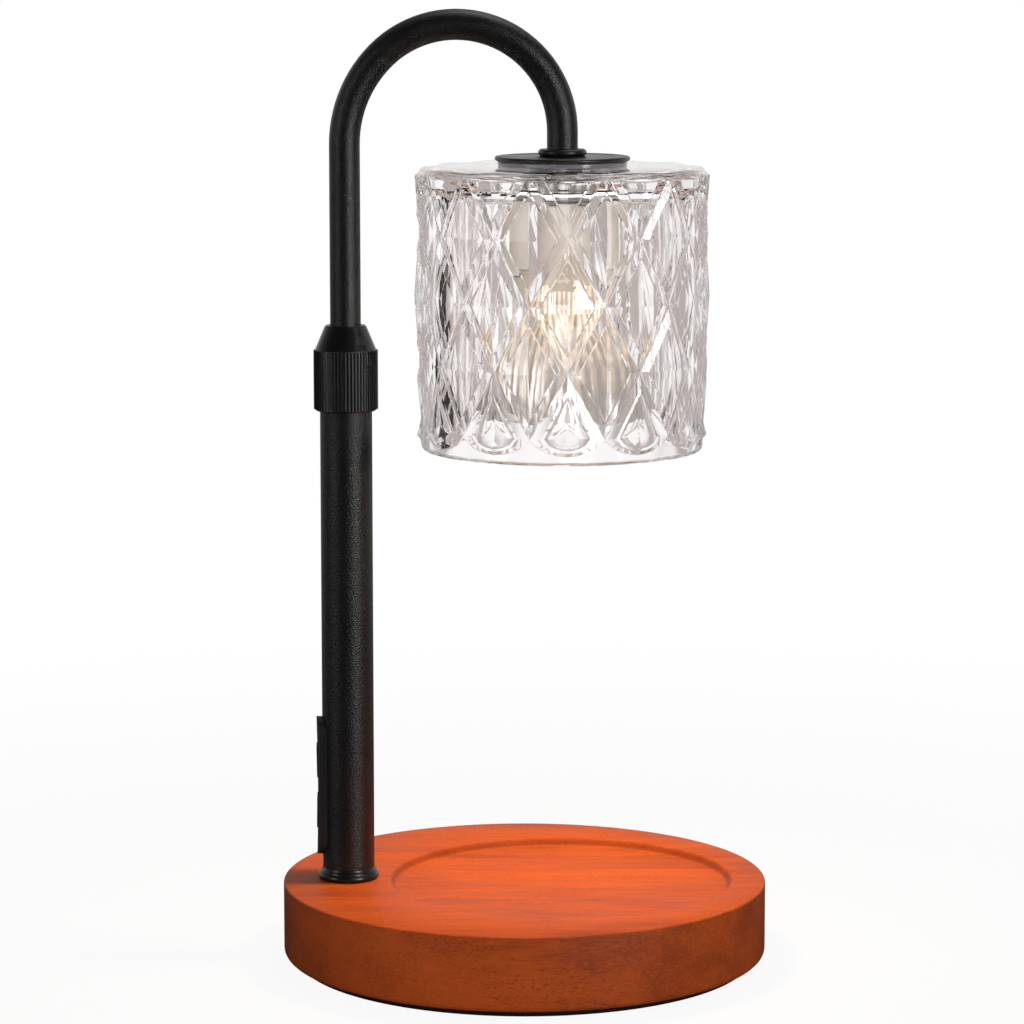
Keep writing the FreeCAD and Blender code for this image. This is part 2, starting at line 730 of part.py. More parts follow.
def make_collar():
    """The knurled locking collar with its thread, the snap groove for the collet and its cone."""
    blank = turned("collar", [
        ("column_radius + 3 * running_gap", "collar_foot"),
        ("collar_radius - collar_lip", "collar_foot"),
        ("collar_radius", "collar_foot + collar_lip"),
        ("collar_radius", "knurl_top - collar_lip"),
        ("collar_radius - collar_lip", "knurl_top"),
        ("collar_cone_radius", "collar_top - collar_lip"),
        ("collar_cone_radius - collar_lip", "collar_top"),
        ("neck_radius + 3 * running_gap", "collar_top"),
        ("neck_radius + 3 * running_gap", "nose_top + collet_flange + running_gap"),
        ("recess_radius", "nose_top + collet_flange + running_gap"),
        ("recess_radius", "nose_top + collet_flange * 2 / 3 + running_gap"),
        ("recess_radius + collet_bead", "nose_top + collet_flange * 2 / 3 + running_gap"),
        ("recess_radius + collet_bead", "nose_top + collet_flange / 3 - running_gap"),
        ("nose_radius + running_gap", "nose_top + collet_flange / 3 - running_gap"),
        ("nose_radius + running_gap", "clamp_shoulder + 3 * running_gap"),
        ("column_radius + 3 * running_gap", "clamp_shoulder + 3 * running_gap"),
    ], x="column_x")
    keep("locking_collar", cut("knurled_collar", blank, knurl_tool()))


# ---------------------------------------------------------------- gooseneck

def bent_pipe(name, section, foot_z, end_z):
    """A rod along the gooseneck's middle line, from a height in the column to one over the seat."""
    leg = cylinder(f"{name}_leg", section, f"hook_start_z - ({foot_z})", "column_x", z=foot_z)
    rise = elbow(f"{name}_rise", "hook_radius", section, 45, "column_x + hook_radius", "hook_start_z", 135)
    hook = elbow(f"{name}_hook", "hook_end_radius", section, 135, "seat_shift - hook_end_radius",
                 "hook_end_z")
    drop = cylinder(f"{name}_drop", section, f"hook_end_z - ({end_z})", "seat_shift", z=end_z)
    return fuse(name, leg, rise, hook, drop)


def make_gooseneck():
    """The upper tube, with grooves at its lower end for the clips of its guide bush."""
    outside = bent_pipe("neck_outside", "neck_radius", "neck_foot", "cap_top")
    inside = bent_pipe("neck_inside", "neck_bore", "neck_foot", "cap_top")
    grooves = [ring(f"groove{number}", "neck_radius + clip_groove", "neck_radius - clip_groove",
                    "clip_thick + 2 * fit_gap", "column_x", f"{z} - fit_gap")
               for number, z in enumerate(("lower_clip_z", "upper_clip_z"))]
    keep("gooseneck_tube", cut("neck", outside, inside, *grooves))
    clips = [ring(f"clip{number}", "clip_radius", "neck_radius - clip_groove + fit_gap", "clip_thick",
                  "column_x", z) for number, z in enumerate(("lower_clip_z", "upper_clip_z"))]
    keep("guide_clips", group("clips", *clips))
    keep("arm_lead", bent_pipe("lead_in_arm", "lead_radius", "neck_foot", "arm_nipple_foot + fit_gap"))


def make_guide():
    """The bush that slides in the column and carries the gooseneck, with a friction ring round it."""
    keep("guide_bush", turned("guide", [
        ("collet_bore", "0"),
        ("column_bore - running_gap", "0"),
        ("column_bore - running_gap", "guide_length / 2 - ring_section"),
        ("column_bore - running_gap - ring_section", "guide_length / 2 - ring_section"),
        ("column_bore - running_gap - ring_section", "guide_length / 2 + ring_section"),
        ("column_bore - running_gap", "guide_length / 2 + ring_section"),
        ("column_bore - running_gap", "guide_length"),
        ("collet_bore", "guide_length"),
    ], x="column_x", z="guide_foot"))
    keep("friction_ring", ring("band", "column_bore - running_gap / 2",
                               "column_bore - running_gap - ring_section + fit_gap",
                               "2 * ring_section - 2 * fit_gap", "column_x",
                               "guide_foot + guide_length / 2 - ring_section + fit_gap"))


def make_slack_lead():
    """The loose lead that lets the gooseneck rise, waved inside the column above the board."""
    foot = size("panel_z + board_height / 2 + solder_gap")
    head = size("neck_foot - lead_radius")
    swing = size("column_bore - lead_radius - 2 * column_wall")
    step = (head - foot) / LEAD_WAVES
    arcs = []
    for number in range(LEAD_WAVES):
        low = Vector(0, 0, foot + number * step)
        high = Vector(0, 0, foot + (number + 1) * step)
        side = swing if number % 2 else -swing
        middle = Vector(0, side, (low.z + high.z) / 2)
        arcs.append(Part.Arc(low, middle, high).toShape())
    path = Part.Wire(arcs)
    start = path.Edges[0].tangentAt(path.Edges[0].FirstParameter)
    section = Part.Wire(Part.Circle(Vector(0, 0, foot), start, size("lead_radius")).toShape())
    lead = doc.addObject("Part::Feature", "slack")
    lead.Shape = path.makePipeShell([section], True, False)
    print("slack lead", round(lead.Shape.Volume, 2), "of",
          round(path.Length * math.pi * size("lead_radius") ** 2, 2))
    keep("slack_lead", place(lead, "column_x"))


# ---------------------------------------------------------------- shade

def make_arm_end():
    """The flange, cap disc, gaskets, hollow stud, nut and bracket that carry the glass."""
    keep("arm_flange", turned("flange", [
        ("neck_radius + fit_gap", "cap_top"),
        ("flange_radius - flange_height / 4", "cap_top"),
        ("flange_radius", "cap_top + flange_height / 4"),
        ("flange_radius", "cap_top + flange_height * 3 / 4"),
        ("flange_radius - flange_height / 4", "arm_end_z"),
        ("neck_radius + fit_gap", "arm_end_z"),
    ], x="seat_shift"))
    keep("shade_cap", turned("cap", [
        ("neck_bore", "gasket_top"),
        ("cap_radius - cap_thick / 5", "gasket_top"),
        ("cap_radius", "gasket_top + cap_thick / 5"),
        ("cap_radius", "cap_top - cap_thick / 5"),
        ("cap_radius - cap_thick / 5", "cap_top"),
        ("neck_bore", "cap_top"),
    ], x="seat_shift"))
    keep("shade_gasket", ring("gasket", "gasket_radius", "neck_bore", "gasket_thick", "seat_shift",
                              "glass_top"))
    keep("lower_gasket", ring("gasket_below", "lower_gasket_radius", "neck_bore", "lower_gasket_thick",
                              "seat_shift", "bracket_top"))
    keep("arm_nipple", ring("stud", "neck_bore - fit_gap", "arm_nipple_bore",
                            "cap_top + arm_nipple_grip - arm_nipple_foot", "seat_shift",
                            "arm_nipple_foot"))
    plate = ring("bracket", "holder_radius", "neck_bore", "bracket_thick", "seat_shift", "holder_top")
    taps = [cylinder(f"tap{number}", "holder_screw_radius + fit_gap", "bracket_thick", "seat_shift",
                     f"{sign} * holder_screw_offset", "holder_top") for number, sign in enumerate(SIDES)]
    keep("holder_bracket", cut("tapped_bracket", plate, *taps))
    blank = prism("shade_nut_blank", HEXAGON, "shade_nut_flats", "shade_nut_thick", "seat_shift",
                  "shade_nut_foot")
    thread = cylinder("shade_nut_thread", "neck_bore", "shade_nut_thick", "seat_shift", z="shade_nut_foot")
    keep("shade_nut", cut("ring_nut", blank, thread))


def glass_point(drop, angle, reach):
    """A corner of the glass, at a depth below its top and an angle from the lobe that faces -Y."""
    turn = math.radians(angle + size("lattice_turn") - 90)
    return Vector(reach * math.cos(turn), reach * math.sin(turn), size("glass_top") - drop)


def crossing(row, angle):
    """A crossing of the grooves; those of the top row lie a little below the top."""
    drop = row * size("lattice_pitch") if row else size("valley_drop")
    return glass_point(drop, angle, size("shade_radius - facet_depth"))


def facet(*points):
    """One flat face of the glass."""
    return Part.Face(Part.makePolygon([*points, points[0]]))


def diamond(row, angle, half):
    """The four facets of a whole diamond."""
    crest = glass_point(row * size("lattice_pitch"), angle, size("shade_radius"))
    left = crossing(row, angle - half)
    right = crossing(row, angle + half)
    over = crossing(row - 1, angle)
    under = crossing(row + 1, angle)
    return [facet(crest, left, over), facet(crest, over, right),
            facet(crest, under, left), facet(crest, right, under)]


def shoulder(angle, half):
    """The half diamond under the top edge, its chamfer and the small facet beside it."""
    crest = glass_point(size("shoulder_drop"), angle, size("shade_radius"))
    edge = glass_point(0, angle, size("crown_radius"))
    next_edge = glass_point(0, angle + 2 * half, size("crown_radius"))
    left = crossing(0, angle - half)
    right = crossing(0, angle + half)
    under = crossing(1, angle)
    return [facet(crest, under, left), facet(crest, right, under), facet(crest, left, edge),
            facet(crest, edge, right), facet(edge, next_edge, right)]


def petal(angle, half):
    """The petal that closes a lobe at the bottom, and the plain band under it."""
    drop = LATTICE_ROWS * size("lattice_pitch")
    reach = size("shade_radius - facet_depth")
    crest = glass_point(drop, angle, size("shade_radius"))
    left = crossing(LATTICE_ROWS, angle - half)
    right = crossing(LATTICE_ROWS, angle + half)
    over = crossing(LATTICE_ROWS - 1, angle)
    tip = glass_point(size("shade_height - rim_band"), angle, reach)
    rim_left, rim, rim_right = (glass_point(size("shade_height"), angle + side * half, reach)
                                for side in (-1, 0, 1))
    return [facet(crest, left, over), facet(crest, over, right), facet(crest, tip, left),
            facet(crest, right, tip), facet(left, tip, rim, rim_left), facet(tip, right, rim_right, rim)]


def make_shade():
    """The pressed glass shade: a lattice of raised diamonds outside and a smooth hollow inside."""
    half = 180 / LOBES
    faces = []
    crown = []
    rim = []
    for lobe in range(LOBES):
        angle = 2 * half * lobe
        faces += shoulder(angle, half)
        for row in range(1, LATTICE_ROWS):
            faces += diamond(row, angle + half * (row % 2), half)
        faces += petal(angle, half)
        crown.append(glass_point(0, angle, size("crown_radius")))
        rim += [glass_point(size("shade_height"), angle + side * half, size("shade_radius - facet_depth"))
                for side in (0, 1)]
    shell = Part.Shell([*faces, facet(*crown), facet(*rim)])
    shell.sewShape()
    block_of_glass = Part.Solid(shell)
    if block_of_glass.Volume < 0:
        block_of_glass.reverse()
    cavity = Part.makeCylinder(size("cavity_radius"), size("shade_height - crown_thick"),
                               Vector(0, 0, size("glass_foot")))
    top_edge = max(cavity.Edges, key=lambda edge: edge.BoundBox.ZMin)
    cavity = cavity.makeFillet(size("cavity_round"), [top_edge])
    hole = Part.makeCylinder(size("crown_hole"), size("shade_height"), Vector(0, 0, size("glass_foot")))
    glass = doc.addObject("Part::Feature", "glass")
    glass.Shape = block_of_glass.cut([cavity, hole])
    keep("glass_shade", place(glass, "seat_shift"))


# ---------------------------------------------------------------- lamp holder and bulb

def arc_slot(name, half_width, z, height, start):
    """A curved slot for one pin, from where it locks to where it comes out."""
    wide = doc.addObject("Part::Cylinder", f"{name}_wide")
    bind(wide, Radius=f"pin_offset + {half_width}", Height=height, Angle="unlock_angle")
    narrow = doc.addObject("Part::Cylinder", f"{name}_narrow")
    bind(narrow, Radius=f"pin_offset - ({half_width})", Height=height)
    ends = []
    for number, angle in enumerate(("0", "unlock_angle")):
        end = doc.addObject("Part::Cylinder", f"{name}_end{number}")
        bind(end, Radius=half_width, Height=height)
        place(end, f"pin_offset * cos({angle})", f"pin_offset * sin({angle})")
        ends.append(end)
    slot = fuse(name, cut(f"{name}_sector", wide, narrow), *ends)
    slot.Placement = FreeCAD.Placement(Vector(), Rotation(Z_AXIS, start))
    slot.setExpression("Placement.Rotation.Angle", bound(f"{start} - unlock_angle"))
    return place(slot, "seat_shift", "0", z)


def make_holder():
    """The ceramic lamp holder with a curved slot and a chamber for each pin of the bulb."""
    blank = cylinder("holder_blank", "holder_radius", "holder_height", "seat_shift", z="holder_foot")
    recess = cylinder("holder_recess", "holder_recess_radius", "holder_recess_depth", "seat_shift",
                      z="recess_floor")
    tools = [recess]
    contacts = []
    wires = []
    for number, (sign, angle) in enumerate(zip(SIDES, PIN_ANGLES)):
        tools.append(arc_slot(f"slot{number}", "pin_neck + pin_gap", "holder_foot", "holder_floor", angle))
        tools.append(arc_slot(f"chamber{number}", "pin_head + pin_gap", "chamber_floor", "chamber_height",
                              angle))
        entry_x = f"seat_shift + {sign} * pin_offset * cos(unlock_angle)"
        entry_y = f"-1 * {sign} * pin_offset * sin(unlock_angle)"
        tools.append(cylinder(f"entry{number}", "pin_head + pin_gap", "holder_floor", entry_x, entry_y,
                              "holder_foot"))
        wire_x = f"seat_shift + {sign} * pin_offset"
        tools.append(cylinder(f"wire_way{number}", "wire_hole", "recess_floor - chamber_roof", wire_x,
                              z="chamber_roof"))
        contacts.append(block(f"contact{number}", ("contact_length / 2", "contact_length", "contact_thick"),
                              wire_x, "0", "contact_z"))
        down = cylinder(f"wire_down{number}", "wire_radius", "wire_z - chamber_roof", wire_x,
                        z="chamber_roof")
        corner = doc.addObject("Part::Sphere", f"wire_corner{number}")
        bind(corner, Radius="wire_radius")
        place(corner, wire_x, "0", "wire_z")
        across = cylinder(f"wire_across{number}", "wire_radius", "pin_offset - 2 * wire_radius", wire_x,
                          z="wire_z", turn=Rotation(Y_AXIS, -90 if sign == "1" else 90))
        wires.append(fuse(f"wire{number}", down, corner, across))
    screws = []
    for number, sign in enumerate(SIDES):
        y = f"{sign} * holder_screw_offset"
        tools.append(cylinder(f"screw_way{number}", "holder_screw_radius + fit_gap", "holder_height",
                              "seat_shift", y, "holder_foot"))
        tools.append(cylinder(f"screw_sink{number}", "holder_screw_head + fit_gap", "holder_screw_sink",
                              "seat_shift", y, "holder_foot"))
        head = cylinder(f"holder_head{number}", "holder_screw_head", "holder_screw_sink - 4 * fit_gap",
                        "seat_shift", y, "holder_foot + 4 * fit_gap")
        shank = cylinder(f"holder_shank{number}", "holder_screw_radius",
                         "holder_height - holder_screw_sink + bracket_thick", "seat_shift", y,
                         "holder_foot + holder_screw_sink")
        screws.append(fuse(f"holder_screw{number}", head, shank))
    keep("lamp_holder", cut("holder", blank, *tools))
    keep("holder_screws", group("holder_screw_pair", *screws))
    keep("contact_springs", group("contact_pair", *contacts))
    keep("holder_wires", group("wire_pair", *wires))


def make_bulb():
    """The halogen reflector bulb: ceramic base, two pins, glass reflector, front lens and capsule."""
    keep("bulb_base", turned("bulb_foot", [
        ("0", "bulb_base_foot"),
        ("neck_lap_radius", "bulb_base_foot"),
        ("neck_lap_radius", "bulb_base_foot + bulb_neck_lap"),
        ("bulb_base_radius - bulb_glass / 2", "bulb_base_foot + bulb_neck_lap"),
        ("bulb_base_radius", "bulb_top - bulb_shoulder"),
        ("bulb_base_radius", "bulb_top"),
        ("0", "bulb_top"),
    ], x="seat_shift"))
    pins = []
    for number, sign in enumerate(SIDES):
        pin_x = f"seat_shift + {sign} * pin_offset"
        neck = cylinder(f"pin_neck{number}", "pin_neck", "pin_head_foot - bulb_top", pin_x, z="bulb_top")
        head = cylinder(f"pin_head{number}", "pin_head", "pin_head_height", pin_x, z="pin_head_foot")
        pins.append(fuse(f"pin{number}", neck, head))
    keep("bulb_pins", group("pins", *pins))
    keep("bulb_reflector", turned("reflector", [
        ("neck_lap_radius + fit_gap", "bulb_base_foot + bulb_neck_lap - fit_gap"),
        ("neck_lap_radius + fit_gap", "bulb_base_foot"),
        ("bulb_radius - bulb_glass", "bulb_face + bulb_rim", "reflector_bow"),
        ("bulb_radius - bulb_glass", "bulb_face"),
        ("bulb_radius", "bulb_face"),
        ("bulb_radius", "bulb_face + bulb_rim"),
        ("bulb_base_radius", "bulb_base_foot", "reflector_bow"),
        ("bulb_base_radius", "bulb_base_foot + bulb_neck_lap - fit_gap"),
    ], x="seat_shift"))
    keep("bulb_lens", cylinder("front_lens", "bulb_radius - bulb_glass - fit_gap", "bulb_lens_thick",
                               "seat_shift", z="bulb_face + bulb_lens_inset"))
    keep("bulb_capsule", turned("capsule", [
        ("0", "bulb_base_foot - capsule_length"),
        ("capsule_radius", "bulb_base_foot - capsule_length + capsule_radius", "capsule_radius"),
        ("capsule_radius", "bulb_base_foot - capsule_radius / 2"),
        ("capsule_radius / 2", "bulb_base_foot"),
        ("0", "bulb_base_foot"),
    ], x="seat_shift"))


# ---------------------------------------------------------------- build and write

def check(objects):
    """Stop if an object of the document failed."""
    for item in objects:
        if "Invalid" in item.State or "Error" in item.State:
            raise RuntimeError(f"{item.Label} failed: {item.State}")
    for node in NODES:
        if node.Shape.isNull() or not node.Shape.isValid() or not node.Shape.Solids:
            raise RuntimeError(f"{node.Label} has no valid solid")


def main():
    """Build every sub-part, check it and write it to parts."""
    fill_sheet()
    make_base()
    make_inlet()
    make_base_lead()
    make_column_fixing()
    make_column()
    make_panel()
    make_board()
    for label, z in KEY_RULES:
        make_key(label, z)
    make_clamp()
    make_collet()
    make_collar()
    make_gooseneck()
    make_guide()
    make_slack_lead()
    make_arm_end()
    make_shade()
    make_holder()
    make_bulb()
    doc.recompute()
    check(doc.Objects)
    os.makedirs("parts", exist_ok=True)
    for node in NODES:
        node.Shape.exportStep(f"parts/{node.Label}.step")
        print(node.Label, len(node.Shape.Solids), round(node.Shape.Volume, 1))


main()
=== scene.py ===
"""Dresses the candle warmer lamp: the pieces that show, their finishes, the studio and the camera.

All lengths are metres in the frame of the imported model: the origin is at the centre of the base's
underside, +Z is up and +X runs from the column to the candle seat.
"""

import json
import logging
import math
from dataclasses import dataclass, field, replace
from enum import Enum
from typing import Any, Callable, ClassVar, Sequence

import bmesh
import bpy
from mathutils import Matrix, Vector

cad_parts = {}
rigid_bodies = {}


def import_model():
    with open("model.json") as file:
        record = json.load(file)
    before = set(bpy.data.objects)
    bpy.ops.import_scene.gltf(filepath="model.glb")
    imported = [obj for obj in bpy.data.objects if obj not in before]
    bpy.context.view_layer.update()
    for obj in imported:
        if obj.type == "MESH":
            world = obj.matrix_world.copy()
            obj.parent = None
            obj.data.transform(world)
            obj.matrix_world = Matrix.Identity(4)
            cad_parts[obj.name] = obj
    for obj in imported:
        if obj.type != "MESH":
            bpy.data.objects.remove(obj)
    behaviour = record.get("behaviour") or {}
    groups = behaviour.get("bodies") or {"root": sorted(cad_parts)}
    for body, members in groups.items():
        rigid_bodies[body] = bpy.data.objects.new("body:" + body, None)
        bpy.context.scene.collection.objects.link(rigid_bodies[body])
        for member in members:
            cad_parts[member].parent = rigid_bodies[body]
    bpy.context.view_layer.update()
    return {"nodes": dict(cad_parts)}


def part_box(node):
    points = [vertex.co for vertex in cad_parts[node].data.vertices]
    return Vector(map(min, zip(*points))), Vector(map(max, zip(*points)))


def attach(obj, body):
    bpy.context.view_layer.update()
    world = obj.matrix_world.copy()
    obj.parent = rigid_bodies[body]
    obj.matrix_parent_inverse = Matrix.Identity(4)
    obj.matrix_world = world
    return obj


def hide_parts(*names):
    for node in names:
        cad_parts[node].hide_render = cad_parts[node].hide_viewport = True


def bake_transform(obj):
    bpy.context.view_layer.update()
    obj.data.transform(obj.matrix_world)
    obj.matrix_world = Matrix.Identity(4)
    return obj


log = logging.getLogger("candle_warmer_lamp")

Pair = tuple[float, float]
Triple = tuple[float, float, float]
Socket = bpy.types.NodeSocket
Solid = bpy.types.Object

MM = 0.001
SMALL = 0.01 * MM
NEAR = 0.1 * MM
LEAST_STEP = 0.001 * MM
MIDDLE = (0.3, 0.7)
WHITE = (1.0, 1.0, 1.0, 1.0)
DRILL_SIDES = 64
FLATS_FIRST = 100


# ---------------------------------------------------------------- the workbench


class Pick(Enum):
    """What a selection is made of."""

    POINTS = "VERT"
    EDGES = "EDGE"
    FACES = "FACE"


@dataclass(frozen=True)
class Place:
    """The box that a node of the frame fills."""

    low: Vector
    high: Vector

    @classmethod
    def of(cls, node: str) -> "Place":
        """The box at rest of the node with this name."""
        low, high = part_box(node)
        return cls(Vector(low), Vector(high))

    @property
    def axis(self) -> Vector:
        """The point on the ground under the node's middle."""
        return Vector(((self.low.x + self.high.x) / 2, (self.low.y + self.high.y) / 2, 0))

    @property
    def radius(self) -> float:
        """Half of the node's depth, which is a round node's radius."""
        return (self.high.y - self.low.y) / 2

    @property
    def foot(self) -> float:
        """The height of the node's underside."""
        return self.low.z

    @property
    def top(self) -> float:
        """The height of the node's top."""
        return self.high.z


class Form:
    """A mesh that is shaped in edit mode, in the frame's own coordinates."""

    def __init__(self, name: str) -> None:
        """Take the primitive that was just added, and open it with all of it selected.

        Args:
            name: What the piece is called.
        """
        self.solid: Solid = bpy.context.object
        self.solid.name = name
        self.solid.data.name = name
        bpy.ops.object.transform_apply(location=True, rotation=True, scale=True)
        bpy.ops.object.mode_set(mode="EDIT")
        bpy.ops.mesh.select_all(action="SELECT")

    def pick(self, kind: Pick, test: Callable[[Any], bool]) -> int:
        """Select the points, edges or faces that pass a test, and nothing else.

        Args:
            kind: What is looked at.
            test: Says of one point, edge or face whether it is wanted.

        Returns:
            How many were selected.
        """
        bpy.ops.mesh.select_mode(type=kind.value)
        bpy.ops.mesh.select_all(action="DESELECT")
        mesh = bmesh.from_edit_mesh(self.solid.data)
        items = {Pick.POINTS: mesh.verts, Pick.EDGES: mesh.edges, Pick.FACES: mesh.faces}[kind]
        wanted = [item for item in items if test(item)]
        for item in wanted:
            item.select_set(True)
        mesh.select_flush_mode()
        bmesh.update_edit_mesh(self.solid.data)
        return len(wanted)

    def pick_all(self) -> None:
        """Select the whole mesh."""
        bpy.ops.mesh.select_all(action="SELECT")

    def pick_rim(self) -> int:
        """Select the open edges, and say how many they are."""
        return self.pick(Pick.EDGES, lambda edge: edge.is_boundary)

    def selected_points(self) -> list[Vector]:
        """The places of the points that are selected now."""
        mesh = bmesh.from_edit_mesh(self.solid.data)
        return [point.co.copy() for point in mesh.verts if point.select]

    def close(self) -> Solid:
        """Weld what meets, turn the faces outwards and leave edit mode.

        Returns:
            The finished object.
        """
        bpy.ops.mesh.select_mode(type=Pick.POINTS.value)
        self.pick_all()
        bpy.ops.mesh.remove_doubles(threshold=SMALL)
        bpy.ops.mesh.normals_make_consistent(inside=False)
        bpy.ops.object.mode_set(mode="OBJECT")
        return self.solid


def middle_of(item: Any) -> Vector:
    """The mean of the corners of an edge or a face that is being edited."""
    corners = [point.co for point in item.verts]
    return sum(corners, Vector()) / len(corners)


def clear_bench() -> None:
    """Leave nothing selected, so that an operator acts on the next primitive alone."""
    if bpy.context.object and bpy.context.object.mode != "OBJECT":
        bpy.ops.object.mode_set(mode="OBJECT")
    bpy.ops.object.select_all(action="DESELECT")


def make_active(solid: Solid) -> None:
    """Select one object alone, and make it the active one.

    Args:
        solid: The object.
    """
    clear_bench()
    solid.select_set(True)
    bpy.context.view_layer.objects.active = solid


def widen(ratio: float, centre: Vector) -> None:
    """Scale the selection in the horizontal plane, about a point that stays."""
    bpy.ops.transform.resize(value=(ratio, ratio, 1), center_override=centre)


def lift(height: float) -> None:
    """Move the selection up by a height."""
    bpy.ops.transform.translate(value=(0, 0, height))


def lay_flat(height: float, centre: Vector) -> None:
    """Press the whole selection onto the level plane at a height, about the piece's axis."""
    bpy.ops.transform.resize(value=(1, 1, 0), center_override=(centre.x, centre.y, height))


def draw_ring(step: Pair, before: Pair, centre: Vector) -> None:
    """Extrude the selected ring to its next radius and height.

    Args:
        step: The new radius and height.
        before: The radius and height that it has.
        centre: A point on the axis.
    """
    bpy.ops.mesh.extrude_region_move()
    lift(step[1] - before[1])
    if abs(step[0] - before[0]) > LEAST_STEP:
        widen(step[0] / before[0], centre)


def turned(name: str, axis: Vector, profile: Sequence[Pair], sides: int = 96,
           hollow: bool = True) -> Form:
    """Draw a ring through a profile, as on a lathe.

    Args:
        name: What the piece is called.
        axis: A point on the axis, which stands upright.
        profile: Pairs of radius and height, one for each ring.
        sides: How many points each ring has.
        hollow: Whether the last ring closes onto the first. If not, both ends are capped.

    Returns:
        The form, still open on the bench, with its last ring selected.
    """
    clear_bench()
    radius, height = profile[0]
    bpy.ops.mesh.primitive_circle_add(
        vertices=sides, radius=radius, fill_type="NOTHING" if hollow else "NGON",
        location=(axis.x, axis.y, height))
    form = Form(name)
    rings = list(profile) + ([profile[0]] if hollow else [])
    for before, step in zip(rings, rings[1:]):
        draw_ring(step, before, axis)
    return form


def arc(centre: Pair, radius: float, start: float, end: float, count: int = 5) -> list[Pair]:
    """Points of a profile along a rounded corner.

    Args:
        centre: The corner's centre as radius and height.
        radius: The corner's radius.
        start: The first angle, in degrees above outwards.
        end: The last angle.
        count: How many points it has.

    Returns:
        Pairs of radius and height.
    """
    angles = [math.radians(start + (end - start) * step / (count - 1)) for step in range(count)]
    return [(centre[0] + radius * math.cos(angle), centre[1] + radius * math.sin(angle))
            for angle in angles]


def smooth(solid: Solid, angle: float = 35.0) -> None:
    """Shade a piece smooth, except across edges that turn by more than an angle in degrees."""
    make_active(solid)
    bpy.ops.object.shade_smooth_by_angle(angle=math.radians(angle))


def keep_flats(solid: Solid) -> None:
    """Shade a piece so that its flat faces stay flat and only the roundings between them turn.

    Args:
        solid: The piece, shaded smooth, with its sharp edges marked.
    """
    make_active(solid)
    weighted = solid.modifiers.new("flats", "WEIGHTED_NORMAL")
    weighted.mode = "FACE_AREA"
    weighted.weight = FLATS_FIRST
    weighted.keep_sharp = True
    bpy.ops.object.modifier_apply(modifier=weighted.name)


# ---------------------------------------------------------------- finishes


@dataclass(frozen=True)
class Clouds:
    """How a cloudy pattern is laid on a piece. Its own values lie between 0 and 1."""

    stretch: Triple = (1, 1, 1)
    shift: Triple = (0, 0, 0)
    scale: float = 1.0
    detail: float = 2.0
    roughness: float = 0.5


